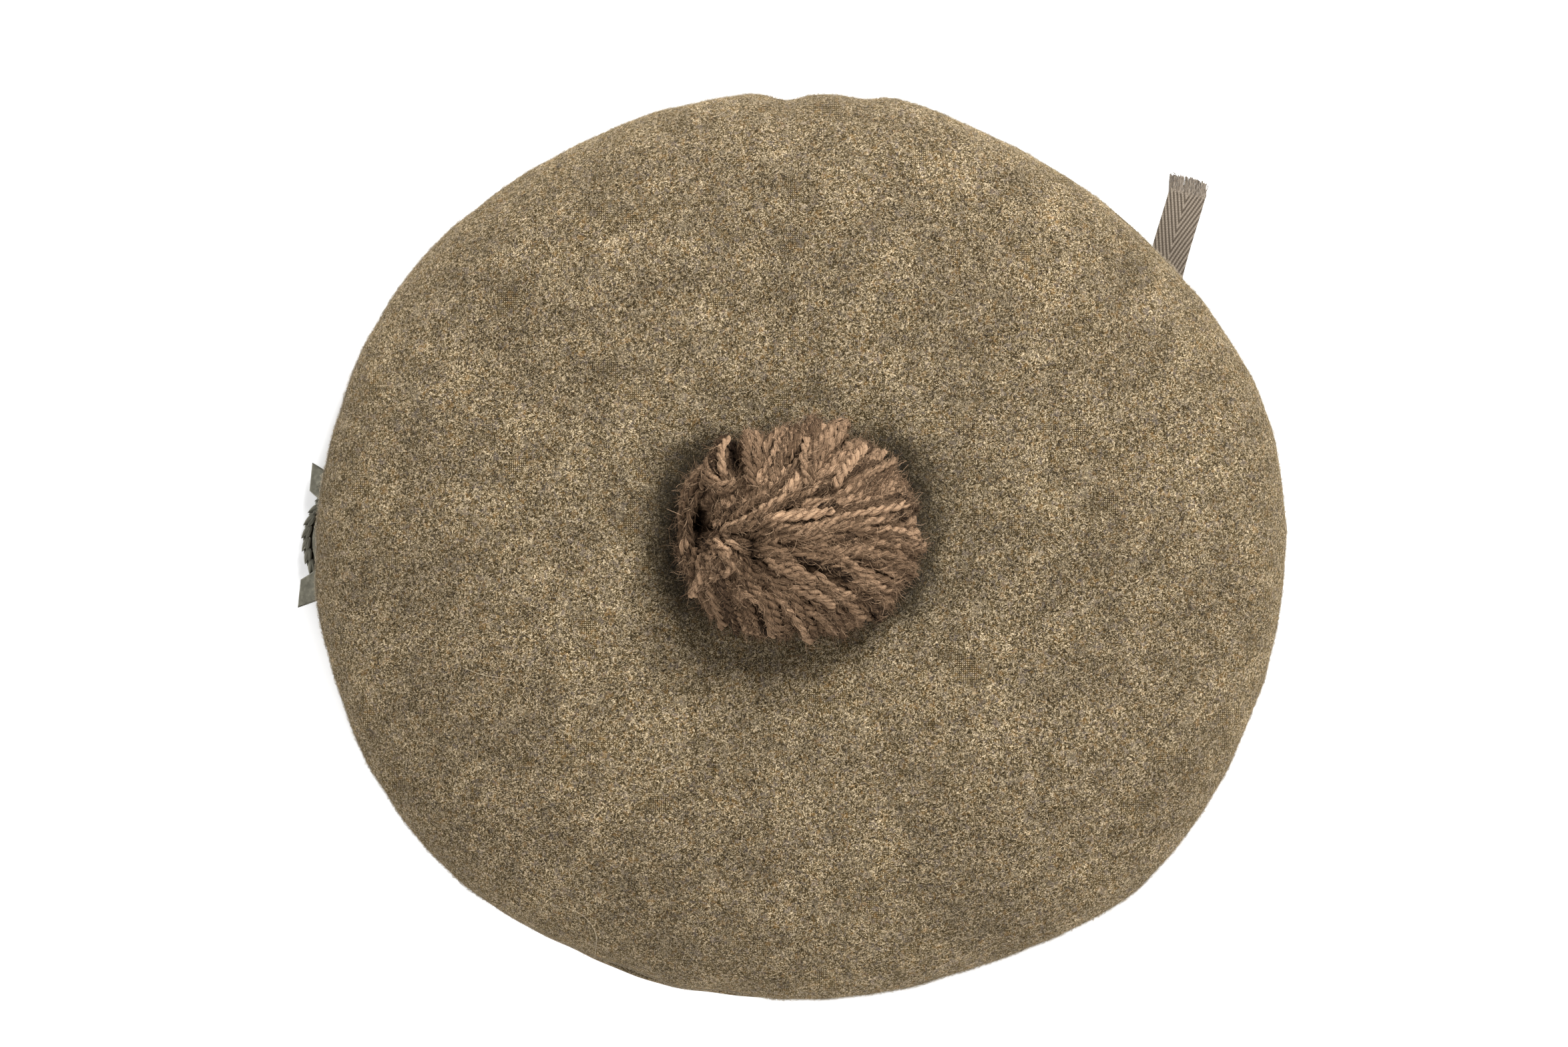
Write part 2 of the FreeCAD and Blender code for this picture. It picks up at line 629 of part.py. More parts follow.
def make_badge_wreath():
    """An oval band with a hollow back, and leaves in pairs that all point one way round it."""
    band = cut(
        "wreath_band_ring",
        oval_prism("wreath_outer", "0.6", "dim.wreath_depth", 0),
        oval_prism("wreath_inner", "dim.wreath_band", "dim.wreath_depth", 0),
    )
    inset = "(dim.wreath_band + 0.6 - dim.wreath_groove) / 2"
    groove = cut(
        "wreath_groove_ring",
        oval_prism("groove_outer", inset, "dim.wreath_groove + 1", -1),
        oval_prism("groove_inner", f"{inset} + dim.wreath_groove", "dim.wreath_groove + 1", -1),
    )
    hollow_band = cut("wreath_hollow_band", band, groove)
    DOC.recompute()
    quarter = FreeCAD.Rotation(FreeCAD.Vector(0, 0, 1), 90)
    whole = hollow_band.Shape.copy()
    whole.Placement = FreeCAD.Placement(FreeCAD.Vector(), quarter)
    base = VALUE["wreath_depth"] - 0.75
    leaves = []
    for x, y, along in leaf_places():
        for lean in (19, -19):
            one = leaf(lean)
            one.rotate(FreeCAD.Vector(), FreeCAD.Vector(0, 0, 1), along)
            one.translate(FreeCAD.Vector(x, y, base))
            leaves.append(one)
    made = whole.fuse(leaves).removeSplitter()
    made.Placement = badge_place(0, 0, VALUE["badge_plate"] + LAYER_GAP)
    feature("badge_wreath", made)


def make_badge_field():
    """The thin pierced plate inside the wreath, and the domed centre that stands on it."""
    shrink = "dim.wreath_band + dim.badge_gap"
    plate = oval_prism("field_blank", shrink, "dim.field_plate", 0)
    DOC.recompute()
    pierced = plate.Shape.copy()
    count = int(VALUE["field_holes"])
    rx = VALUE["wreath_ry"] - VALUE["wreath_band"] - 2.6
    ry = VALUE["wreath_rx"] - VALUE["wreath_band"] - 2.6
    holes = []
    for i in range(count):
        angle = 2 * math.pi * i / count
        at = FreeCAD.Vector(rx * math.cos(angle), ry * math.sin(angle), -1)
        holes.append(Part.makeCylinder(0.9, 3, at))
    pierced = pierced.cut(holes)
    quarter = FreeCAD.Placement(FreeCAD.Vector(), FreeCAD.Rotation(FreeCAD.Vector(0, 0, 1), 90))
    pierced.Placement = badge_place(0, 0, VALUE["badge_plate"] + LAYER_GAP).multiply(quarter)
    feature("badge_field", pierced)
    radius = "dim.boss_radius"
    depth = "dim.boss_depth"
    dome = [
        ("0", "0"),
        (radius, "0"),
        (radius, f"{depth} * 0.3"),
        (f"{radius} * 0.8", f"{depth} * 0.72"),
        (f"{radius} * 0.45", f"{depth} * 0.95"),
        ("0", depth),
    ]
    boss = turned("badge_boss_dome", dome)
    boss.Placement = badge_place(0, 0, VALUE["badge_plate"] + VALUE["field_plate"] + 2 * LAYER_GAP)
    node(boss, "badge_boss")


def make_badge_fixings():
    """Two wire lugs through the cloth, a backing plate inside it and the split pin."""
    half = VALUE["lug_spacing"] / 2
    reach, eye, wire = VALUE["lug_reach"], VALUE["lug_eye"], VALUE["lug_wire"]
    upright = FreeCAD.Rotation(FreeCAD.Vector(0, 1, 0), 90)
    for side, sign in (("left", -1), ("right", 1)):
        shank = DOC.addObject("Part::Cylinder", f"lug_shank_{side}")
        bind(shank, Radius="dim.lug_wire", Height="dim.lug_reach - dim.lug_eye")
        shank.Placement = badge_place(sign * half, 0, -reach + eye)
        loop = DOC.addObject("Part::Torus", f"lug_eye_{side}")
        bind(loop, Radius1="dim.lug_eye", Radius2="dim.lug_wire")
        loop.Placement = badge_place(sign * half, 0, -reach).multiply(
            FreeCAD.Placement(FreeCAD.Vector(), upright)
        )
        node(fuse(f"lug_{side}", [shank, loop]), f"badge_lug_{side}")
    plate = DOC.addObject("Part::Box", "backing_blank")
    bind(plate, Length="dim.lug_spacing + 12", Width="9", Height="0.6")
    plate.Placement = badge_place(-half - 6, -4.5, -6.2)
    node(cut("backing_pierced", plate, lug_holes("backing")), "badge_backing_plate")
    rod = DOC.addObject("Part::Cylinder", "pin_rod")
    bind(rod, Radius="dim.lug_eye - dim.lug_wire - 0.25", Height="dim.lug_spacing + 11")
    rod.Placement = badge_place(-half - 5, 0, -reach).multiply(
        FreeCAD.Placement(FreeCAD.Vector(), upright)
    )
    head = DOC.addObject("Part::Torus", "pin_head")
    bind(head, Radius1="2.0", Radius2="dim.lug_eye - dim.lug_wire - 0.25")
    head.Placement = badge_place(half + 6 + 2.0, 0, -reach)
    node(fuse("pin_whole", [rod, head]), "badge_split_pin")


# ----------------------------------------------------------------------------- the build
make_crown_top_panel()
make_crown_under_panel()
make_lining()
make_seam_threads()
make_headband()
make_sweatband()
make_edge_binding()
make_size_tape()
make_slit_stitching()
make_stitch_rings()
make_size_label()
make_tail("tape_tail_left", LEFT_TAIL, 1)
make_tail("tape_tail_right", RIGHT_TAIL, -1)
make_toorie()
node(make_badge_cross(), "badge_cross")
make_badge_wreath()
make_badge_field()
make_badge_fixings()
DOC.recompute()

for thing in DOC.Objects:
    if "Invalid" in thing.State or "Error" in thing.State:
        raise RuntimeError(f"{thing.Name} failed: {thing.State}")
os.makedirs("parts", exist_ok=True)
for thing in NODES:
    shape = thing.Shape
    if shape.isNull() or not shape.isValid() or not shape.Solids:
        raise RuntimeError(f"{thing.Label} has no valid solid")
    shape.exportStep(f"parts/{thing.Label}.step")
    print(f"{thing.Label}: {len(shape.Solids)} solid(s), {shape.Volume:.1f} mm3")
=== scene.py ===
"""Looks for a khaki wool bonnet: felted crown, yarn toorie, herringbone tape, plain badge.

Lengths in the tables and helpers are millimetres; meshes are written in metres.
A grid is (rows, columns, 3) points. A solid is (points, groups of equal-sided faces).
"""
import math

import bpy
import numpy as np
from mathutils import Matrix, Vector


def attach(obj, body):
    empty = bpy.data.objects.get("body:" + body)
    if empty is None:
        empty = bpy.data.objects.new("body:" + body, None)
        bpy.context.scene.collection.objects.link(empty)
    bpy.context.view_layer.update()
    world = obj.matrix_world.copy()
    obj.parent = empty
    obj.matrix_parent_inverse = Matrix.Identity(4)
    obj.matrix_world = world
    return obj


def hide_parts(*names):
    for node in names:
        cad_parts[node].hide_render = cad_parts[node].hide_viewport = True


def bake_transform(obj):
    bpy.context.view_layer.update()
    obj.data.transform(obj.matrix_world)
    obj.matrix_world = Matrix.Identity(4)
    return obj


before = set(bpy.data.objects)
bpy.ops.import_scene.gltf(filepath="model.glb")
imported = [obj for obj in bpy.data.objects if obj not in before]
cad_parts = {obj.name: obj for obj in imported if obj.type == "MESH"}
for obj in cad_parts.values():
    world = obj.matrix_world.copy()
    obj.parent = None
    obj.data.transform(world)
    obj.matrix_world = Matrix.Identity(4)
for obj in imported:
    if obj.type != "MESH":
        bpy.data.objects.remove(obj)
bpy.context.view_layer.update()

MM = 0.001
RNG = np.random.default_rng(20)
POM_RNG = np.random.default_rng(5)
TAU = 2 * math.pi
UP = np.array([0, 0, 1.0])
DEG = 57.3  # degrees in a radian, for widths along the rim

# The crown, the same sizes as the frame's
CROWN_RX, CROWN_RY = 145.4, 136.0
CROWN_TOP, RIM_Z, SEAM_Z = 40.0, 17.5, 14.2
CLOTH = 1.6
RIM_NAP = 0.45
BAND_R, BAND_TOP = 95.0, 32.0
TOORIE = np.array([-0.4, 3.6])
# Painted shadow round the toorie, darkening the cloth and its loose fibres where the toorie shades them:
# middle and half sizes
TOORIE_SHADOW_AT, TOORIE_SHADOW_HALF = (-2.2, 4.2), (43.5, 30.6)

# Soft pushes of the rim: (angle, spread in degrees, millimetres outwards)
RIM_FOLDS = [
    (16, 8, 1.0), (44, 14, -3.1), (64, 7, -1.3), (76, 3.5, 0.9), (82, 1.6, -0.9), (86, 6, -0.4),
    (91.6, 1.9, -2.3), (122, 8, -0.6), (145, 8, 0.8), (167, 6, -0.5), (188, 6, 1.0),
    (203, 6, 0.8), (216, 9, 2.9), (229, 6, 2.6), (240, 4, 0.8), (251, 7, 1.9), (270, 12, 0.7),
    (312, 8, 3.4), (325, 9, 1.9),
]
# Where the under panel's edge shows past the top panel: (angle, spread, millimetres)
RIM_PEEKS = [(234, 7, 0.9), (248.5, 4.5, 1.9), (261, 3.2, 1.5)]
# Creases that run in from the rim: (angle, width, how far in, depth)
RIM_CREASES = [(91.3, 4.0, 0.07, 1.0), (82, 3.0, 0.10, 0.9), (250, 5.0, 0.12, 1.3), (262, 4.0, 0.10, 1.0)]
# The slits in the headband that let the tape out: their angles, half width, low and high end
SLITS_AT = {"left": 8.0, "right": -8.0}
SLIT_HALF, SLIT_LOW, SLIT_HIGH = 0.72, 8.4, 20.6


# --- small tools
def smooth(x, low, high):
    t = np.clip((x - low) / (high - low), 0.0, 1.0)
    return t * t * (3 - 2 * t)


def unit(v):
    return v / np.maximum(np.linalg.norm(v, axis=-1, keepdims=True), 1e-9)


def xyz(x, y, z):
    return np.stack(np.broadcast_arrays(x, y, z), axis=-1)


def around(radius, theta, z):
    return xyz(radius * np.cos(theta), radius * np.sin(theta), z)


def angles(count):
    """Even angles once round."""
    return np.arange(count) * TAU / count


def waves(x, y, length, seed, count=7):
    """A smooth random height, about -1 to 1, with ripples of the given length."""
    rng = np.random.default_rng(seed)
    total = np.zeros(np.broadcast(x, y).shape)
    for _ in range(count):
        angle, phase = rng.uniform(0, TAU, 2)
        k = TAU / (length * rng.uniform(0.7, 1.5))
        total += np.sin(k * (x * math.cos(angle) + y * math.sin(angle)) + phase)
    return total / math.sqrt(count)


def angle_off(degrees, at):
    return (degrees - at + 180) % 360 - 180


def bumps(theta, table):
    degrees = np.degrees(theta) % 360
    return sum(push * np.exp(-0.5 * (angle_off(degrees, at) / spread) ** 2) for at, spread, push in table)


def add(name, data, at=(0, 0, 0)):
    """A new object in the scene."""
    made = bpy.data.objects.new(name, data)
    made.location = at
    bpy.context.scene.collection.objects.link(made)
    return made


def piece(name, solid, material, replaces=None, tone=None, body="bonnet"):
    """A mesh of a solid, with a tone for all of it or for every point; with no body it is left unattached."""
    mesh = bpy.data.meshes.new(name)
    points = np.asarray(solid[0], np.float32).reshape(-1, 3) * MM
    groups = [np.asarray(group, np.int32) for group in solid[1] if len(group)]
    sizes = np.concatenate([np.full(len(group), group.shape[1], np.int32) for group in groups])
    starts = np.concatenate([[0], np.cumsum(sizes)[:-1]]).astype(np.int32)
    loops = np.concatenate([group.ravel() for group in groups])
    mesh.vertices.add(len(points))
    mesh.vertices.foreach_set("co", points.ravel())
    mesh.loops.add(len(loops))
    mesh.loops.foreach_set("vertex_index", loops)
    mesh.polygons.add(len(sizes))
    mesh.polygons.foreach_set("loop_start", starts)
    mesh.polygons.foreach_set("use_smooth", np.ones(len(sizes), bool))
    if tone is not None:
        layer = mesh.attributes.new("tone", "FLOAT", "POINT")
        layer.data.foreach_set("value", np.broadcast_to(tone, len(points)).astype(np.float32))
    mesh.update(calc_edges=True)
    mesh.validate()
    made = add(name, mesh)
    mesh.materials.append(material)
    if body:
        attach(made, body)
    if replaces:
        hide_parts(replaces)
    return made


def shell(outer, inner, keep=None):
    """Closed cloth between two grids that close round their columns, where keep is true."""
    rows, cols = outer.shape[:2]
    keep = np.ones((rows - 1, cols), bool) if keep is None else keep
    index = np.arange(rows * cols).reshape(rows, cols)
    right = np.roll(index, -1, axis=1)
    quads = np.stack([index[:-1], right[:-1], right[1:], index[1:]], axis=-1)[keep]
    offset = rows * cols
    faces = [quads, quads[:, ::-1] + offset]
    none = np.zeros((1, cols), int)
    edge = np.diff(np.vstack([none, keep, none]), axis=0)
    for sign in (1, -1):
        row, col = np.nonzero(edge == sign)
        a, b = index[row, col], right[row, col]
        faces.append(np.stack([a, a + offset, b + offset, b], axis=-1)[:, ::sign])
    side = keep.astype(int) - np.roll(keep, 1, axis=1)
    for sign in (1, -1):
        row, col = np.nonzero(side == sign)
        a, b = index[row, col], index[row + 1, col]
        faces.append(np.stack([a, b, b + offset, a + offset], axis=-1)[:, ::sign])
    points = np.concatenate([outer.reshape(-1, 3), inner.reshape(-1, 3)])
    quads = np.concatenate(faces)
    used, packed = np.unique(quads, return_inverse=True)
    return points[used], [packed.reshape(quads.shape)]


def open_sheet(outer, inner):
    """Closed cloth between two grids that do not close round."""
    keep = np.ones((outer.shape[0] - 1, outer.shape[1]), bool)
    keep[:, -1] = False
    return shell(outer, inner, keep)


def sweep(grid):
    """Faces of a grid that closes both ways."""
    index = np.arange(grid.shape[0] * grid.shape[1]).reshape(grid.shape[:2])
    nxt = np.roll(index, -1, axis=0)
    quads = [index, nxt, np.roll(nxt, -1, axis=1), np.roll(index, -1, axis=1)]
    return np.stack(quads, axis=-1).reshape(-1, 4)


def crosswise(paths):
    """Two directions square to every step of every path."""
    along = unit(np.gradient(paths, axis=1))
    whole = unit(paths[:, -1] - paths[:, 0] + 1e-6)
    pick = np.eye(3)[np.argmin(np.abs(whole), axis=1)]
    first = unit(np.cross(along, pick[:, None, :]))
    return first, np.cross(along, first)


def turned(first, second, angle):
    """The way that lies at an angle between two crossed ones."""
    return first * np.cos(angle)[..., None] + second * np.sin(angle)[..., None]


def tubes(paths, radii, sides=5):
    """Round threads along paths (count, steps, 3), with both of their ends closed."""
    count, steps = paths.shape[:2]
    radii = np.broadcast_to(np.asarray(radii, float), (count, steps))
    first, second = crosswise(paths)
    ring = turned(first[:, :, None, :], second[:, :, None, :], angles(sides))
    points = paths[:, :, None, :] + ring * radii[:, :, None, None]
    index = np.arange(count * steps * sides).reshape(count, steps, sides)
    nxt = np.roll(index, -1, axis=2)
    walls = np.stack([index[:, :-1], nxt[:, :-1], nxt[:, 1:], index[:, 1:]], axis=-1).reshape(-1, 4)
    return points.reshape(-1, 3), [walls, index[:, 0, ::-1], index[:, -1]]


def merge(parts):
    """Joins several solids into one."""
    points, groups, start = [], {}, 0
    for cloud, faces in parts:
        for group in faces:
            groups.setdefault(group.shape[1], []).append(group + start)
        points.append(cloud)
        start += len(cloud)
    return np.concatenate(points), [np.concatenate(g) for g in groups.values()]


def curve_through(knots, steps):
    """A smooth line (Catmull-Rom) through knots."""
    knots = np.asarray(knots, float)
    full = np.vstack([2 * knots[0] - knots[1], knots, 2 * knots[-1] - knots[-2]])
    at = np.linspace(0, len(knots) - 1 - 1e-9, steps)
    i = at.astype(int)
    t = (at - i)[:, None]
    p0, p1, p2, p3 = full[i], full[i + 1], full[i + 2], full[i + 3]
    return 0.5 * (
        2 * p1 + (p2 - p0) * t + (2 * p0 - 5 * p1 + 4 * p2 - p3) * t**2
        + (3 * p1 - p0 - 3 * p2 + p3) * t**3
    )


# --- materials
def feed(node, values):
    """Links or sets a node's inputs; colours are given as their three numbers."""
    for key, value in values.items():
        entry = node.inputs[key]
        if isinstance(value, bpy.types.NodeSocket):
            node.id_data.links.new(value, entry)
        else:
            entry.default_value = (*value, 1.0) if entry.type == "RGBA" else value


class Shader:
    """A material's nodes, added one line each."""

    def __init__(self, name, roughness=0.85, metallic=0.0, sheen=0.0, specular=0.12):
        self.material = bpy.data.materials.new(name)
        self.material.use_nodes = True
        self.tree = self.material.node_tree
        self.shader = self.tree.nodes["Principled BSDF"]
        feed(self.shader, {"Roughness": roughness, "Metallic": metallic, "Specular IOR Level": specular})
        feed(self.shader, {"Sheen Weight": sheen, "Sheen Roughness": 0.5})
        self.place = self.node("TexCoord").outputs["Object"]

    def node(self, kind, values=None, **settings):
        made = self.tree.nodes.new("ShaderNode" + kind)
        for key, value in settings.items():
            setattr(made, key, value)
        feed(made, values or {})
        return made

    def noise(self, size, detail=2.0, rough=0.5, place=None, distortion=0.0):
        """Noise with features of the given size in millimetres."""
        values = {"Vector": place or self.place, "Scale": 1 / (size * MM), "Detail": detail}
        values.update({"Roughness": rough, "Distortion": distortion})
        return self.node("TexNoise", values).outputs["Fac"]

    def stretched(self, turn, squeeze):
        """Coordinates turned about Z and drawn out along one way, for noise that runs as fibres."""
        values = {"Vector": self.place, "Rotation": (0.0, 0.0, turn), "Scale": (squeeze, 1.0, 1.0)}
        return self.node("Mapping", values, vector_type="TEXTURE").outputs["Vector"]

    def ribs(self, axis, scale, distortion, detail=1.0):
        """Soft bands across an axis."""
        values = {"Vector": self.place, "Scale": scale, "Distortion": distortion, "Detail Scale": detail}
        return self.node("TexWave", values, bands_direction=axis).outputs["Fac"]

    def toorie_shadow_mask(self):
        """Half the distance from the toorie's middle, in the half sizes of its painted shadow, a little
        broken up.
        """
        values = {
            "Vector": self.place,
            "Location": (TOORIE_SHADOW_AT[0] * MM, TOORIE_SHADOW_AT[1] * MM, 0.0),
            "Scale": (TOORIE_SHADOW_HALF[0] * MM, TOORIE_SHADOW_HALF[1] * MM, 1000.0),
        }
        inside = self.node("Mapping", values, vector_type="TEXTURE").outputs["Vector"]
        split = self.node("SeparateXYZ", {0: inside}).outputs
        cubes = [self.maths("POWER", self.maths("ABSOLUTE", split[i]), 3.0) for i in (0, 1)]
        away = self.times(self.maths("POWER", self.maths("ADD", *cubes), 1 / 3), 0.5)
        uneven = self.maths("SUBTRACT", self.times(self.noise(5.0, 3.0), 0.10), 0.05)
        return self.maths("SUBTRACT", away, uneven)

    def ramp(self, fac, stops):
        made = self.node("ValToRGB", {"Fac": fac})
        ramp = made.color_ramp
        while len(ramp.elements) < len(stops):
            ramp.elements.new(0.5)
        for element, (at, colour) in zip(ramp.elements, stops):
            element.position = at
            element.color = (*colour, 1.0) if hasattr(colour, "__len__") else (colour,) * 3 + (1.0,)
        return made.outputs["Color"]

    def step(self, fac, low, high, first=0.0, last=1.0):
        return self.ramp(fac, [(low, first), (high, last)])

    def mix(self, fac, a, b, blend="MIX"):
        return self.node("Mix", {0: fac, 6: a, 7: b}, data_type="RGBA", blend_type=blend).outputs[2]

    def maths(self, operation, a, b=0.0):
        return self.node("Math", {0: a, 1: b}, operation=operation).outputs[0]

    def times(self, a, b):
        return self.maths("MULTIPLY", a, b)

    def done(self, colour, height=None, depth=0.1, strength=1.0):
        feed(self.shader, {"Base Color": colour})
        if height:
            bump = self.node("Bump", {"Strength": strength, "Distance": depth * MM, "Height": height})
            feed(self.shader, {"Normal": bump.outputs["Normal"]})
        return self.material


def serge(name, gain=1.0):
    """Milled heather wool: mottled khaki with cream, brown, orange and grey-violet flecks, and a painted
    shadow round the toorie.
    """
    s = Shader(name, roughness=0.95, sheen=0.30)
    feed(s.shader, {"Sheen Tint": (0.80, 0.60, 0.32)})
    grain = s.noise(0.62, 2.5, 0.75, distortion=1.4)
    runs = [s.noise(0.34, 1.0, place=s.stretched(turn, 3.2), distortion=0.7) for turn in (0.5, 1.6, 2.7)]
    first = s.step(s.noise(1.1, 1.0), 0.47, 0.53)
    second = s.step(s.noise(1.3, 1.0, distortion=0.5), 0.54, 0.60)
    both = s.mix(0.45, grain, s.mix(second, s.mix(first, runs[0], runs[1]), runs[2]))
    weft, warp = (s.ribs(axis, TAU / 20 / (0.62 * MM), 2.5, 0.3) for axis in "XY")
    weave = s.step(s.times(weft, warp), 0.0, 0.8, 0.40, 0.64)
    worn = s.step(s.noise(14.0, 3.0, 0.6), 0.58, 0.72, 0.0, 0.5)
    height = s.mix(worn, both, weave)
    dark, mid, light = (0.0115, 0.0070, 0.0024), (0.078, 0.0545, 0.0212), (0.46, 0.370, 0.245)
    base = s.ramp(height, [(0.425, dark), (0.505, mid), (0.60, light)])
    flecks = [
        (s.noise(1.7, 2.5, 0.6, distortion=1.0), (0.55, 0.66), 0.38, (0.21, 0.115, 0.036)),
        (s.noise(1.8, 2.5, 0.6, distortion=1.0), (0.35, 0.45, 1.0, 0.0), 0.40, (0.135, 0.112, 0.104)),
        (s.noise(4.2, 3.0, 0.7, distortion=0.8), (0.56, 0.72), 0.30, (0.30, 0.245, 0.165)),
    ]
    for noise, levels, strength, colour in flecks:
        base = s.mix(s.times(s.step(noise, *levels), strength), base, colour)
    shades = [
        s.step(s.noise(8.0, 3.0, 0.65), 0.30, 0.70, 0.66 * gain, 1.26 * gain),
        s.step(s.noise(34.0, 2.0), 0.32, 0.68, (0.80, 0.79, 0.79), (1.13, 1.12, 1.11)),
        # painted shadow: the cloth is darkened to a tenth right round the toorie
        s.ramp(s.toorie_shadow_mask(), [(0.42, 0.10), (0.48, 0.42), (0.55, 1.0)]),
    ]
    for shade in shades:
        base = s.mix(1.0, base, shade, "MULTIPLY")
    return s.done(base, height, depth=0.62)


def strand_shader(name, dark, mid, light, size=0.5, sheen=0.25, spread=0.5):
    """Threads whose brightness follows the tone of each thread and fine noise."""
    s = Shader(name, roughness=0.9, sheen=sheen)
    fine = s.noise(size, 3.0, 0.65)
    tone = s.node("Attribute", attribute_name="tone").outputs["Fac"]
    fac = s.maths("ADD", s.times(tone, spread), s.times(fine, 1.0 - spread))
    return s.done(s.ramp(fac, [(0.25, dark), (0.5, mid), (0.78, light)]), fine, depth=0.15, strength=0.6)


def woven(name, dark, light, warp=0.5, weft=0.5, mottle=0.18, axes="XYZ"):
    """Plain-weave cotton: crossed sets of fine ribs with broad soft mottling."""
    s = Shader(name, sheen=0.1)
    height = None
    for axis, pitch in zip(axes, (warp, weft, warp)):
        wave = s.ribs(axis, TAU / (pitch * MM) / 20.0, 0.4)
        height = s.maths("ADD", height, wave) if height else wave
    height = s.times(height, 1 / len(axes))
    fac = s.maths("ADD", s.times(height, 0.5), s.times(s.noise(0.8, 3.0), 0.5))
    blotch = s.step(s.noise(12.0, 3.0), 0.3, 0.7, 1.0 - mottle, 1.0 + mottle)
    colour = s.mix(1.0, s.step(fac, 0.3, 0.7, dark, light), blotch, "MULTIPLY")
    return s.done(colour, height, depth=0.12, strength=0.7)


def metal(name, colour, roughness, grime, wear=0.25):
    """Worn metal with a cloudy face and small dark spots."""
    s = Shader(name, roughness, metallic=1.0, specular=0.5)
    cloud = s.step(s.noise(3.0, 4.0, 0.6), 0.35, 0.65, 1.0 - wear, 1.0)
    spots = s.step(s.noise(0.7, 2.0), 0.60, 0.72)
    base = s.mix(s.times(spots, 0.35), s.mix(1.0, colour, cloud, "MULTIPLY"), grime)
    rough = s.step(s.noise(1.2, 3.0), 0.3, 0.7, roughness - 0.08, roughness + 0.12)
    feed(s.shader, {"Roughness": rough})
    return s.done(base, s.noise(0.35, 2.0), depth=0.03, strength=0.4)


SERGE = serge("serge")
# painted shade: the same serge made 8% darker for the under panel and headband underneath
SERGE_INSIDE = serge("serge_under", 0.92)
FELT_FIBRE = strand_shader(
    "felt_fibre", (0.015, 0.0095, 0.0032), (0.124, 0.0865, 0.0375), (0.49, 0.398, 0.265), spread=0.85)
YARN = strand_shader(
    "yarn", (0.012, 0.0062, 0.0030), (0.117, 0.0715, 0.0410), (0.37, 0.240, 0.146), sheen=0.0, spread=0.62)
YARN_FUZZ = strand_shader(
    "yarn_fuzz", (0.052, 0.031, 0.018), (0.18, 0.114, 0.067), (0.41, 0.275, 0.172), sheen=0.0, spread=0.85)
THREAD = strand_shader("thread", (0.05, 0.038, 0.022), (0.125, 0.098, 0.062), (0.23, 0.19, 0.13), size=0.3)
TAPE = strand_shader(
    "tape", (0.024, 0.0175, 0.0115), (0.104, 0.082, 0.060), (0.225, 0.188, 0.148), size=0.4, spread=0.6)
LINING = woven("lining", (0.058, 0.054, 0.039), (0.128, 0.121, 0.090), 0.45, 0.45, axes="XY")
TWILL = woven("sweatband", (0.068, 0.053, 0.032), (0.162, 0.131, 0.086), 0.6, 0.8)
BINDING = woven("binding", (0.050, 0.039, 0.022), (0.128, 0.103, 0.065), 0.5, 0.7)
LABEL = woven("label", (0.40, 0.375, 0.315), (0.60, 0.575, 0.505), 0.35, 0.35, 0.06)
BADGE = metal("badge_metal", (0.150, 0.142, 0.110), 0.34, (0.040, 0.034, 0.022))
FIELD = metal("badge_field_metal", (0.27, 0.262, 0.245), 0.30, (0.05, 0.045, 0.035))
BRASS = metal("brass", (0.52, 0.38, 0.16), 0.35, (0.12, 0.08, 0.04))


# --- crown
def ellipse_radius(theta, rx, ry):
    return 1 / np.sqrt((np.cos(theta) / rx) ** 2 + (np.sin(theta) / ry) ** 2)


def rim_radius(theta):
    ripple = 0.12 * np.sin(23 * theta + 1.3) + 0.10 * np.sin(37 * theta + 0.4) + 0.07 * np.sin(61 * theta)
    return ellipse_radius(theta, CROWN_RX, CROWN_RY) - RIM_NAP + bumps(theta, RIM_FOLDS) + ripple


def crown_point(s, theta):
    """The crown's outside: s runs from the toorie (0) to the rim (1) and round it (up to 1.4)."""
    s, theta = np.broadcast_arrays(s, theta)
    peek = bumps(theta, RIM_PEEKS)
    rim = rim_radius(theta) - peek
    out = np.minimum(s, 1.0)
    roll = np.clip(s - 1.0, 0, 0.4) / 0.4 * math.radians(112)
    radius = rim - 2.0 * (1 - np.cos(roll))
    x = (radius * np.cos(theta)) * out + TOORIE[0] * (1 - out)
    y = (radius * np.sin(theta)) * out + TOORIE[1] * (1 - out)
    fall = np.clip(1 - out**5.0, 0, 1) ** 0.72
    z = RIM_Z + (CROWN_TOP - 0.2 - RIM_Z) * fall - 3.3 * np.sin(np.minimum(roll, math.pi / 2))
    inside = 1 - out**8
    z = z + inside * (0.75 * waves(x, y, 62, 3) + 0.30 * waves(x, y, 24, 4))
    z = z + (1 - inside) * 0.5 * np.sin(7 * theta + 0.8) * (out > 0.2)
    rho = np.hypot((x - TOORIE[0]) / 1.05, y - TOORIE[1])
    z = z - 3.9 * (1 - smooth(rho, 20.0, 50.0))
    degrees = np.degrees(theta)
    for at, width, reach, depth in RIM_CREASES:
        across = angle_off(degrees, at) / DEG * rim
        z = z - depth * np.exp(-((across / width) ** 2)) * smooth(out, 1 - 2 * reach, 1 - 0.3 * reach)
    return np.stack([x, y, z], axis=-1)


def crown_normal(s, theta):
    step = 1e-3
    ds = crown_point(s + step, theta) - crown_point(s - step, theta)
    dt = crown_point(s, theta + step) - crown_point(s, theta - step)
    return unit(np.cross(ds, dt))


def grid_normals(grid):
    """Outward normals of a (rows, columns) grid that closes round its columns."""
    down = np.gradient(grid, axis=0)
    round_ = (np.roll(grid, -1, axis=1) - np.roll(grid, 1, axis=1)) / 2
    return unit(np.cross(down, round_))


def crown_cloth(name, outer, material, replaces):
    """One panel of the crown: its outside, and the same pushed in by the cloth's thickness."""
    piece(name, shell(outer, outer - grid_normals(outer) * CLOTH), material, replaces)


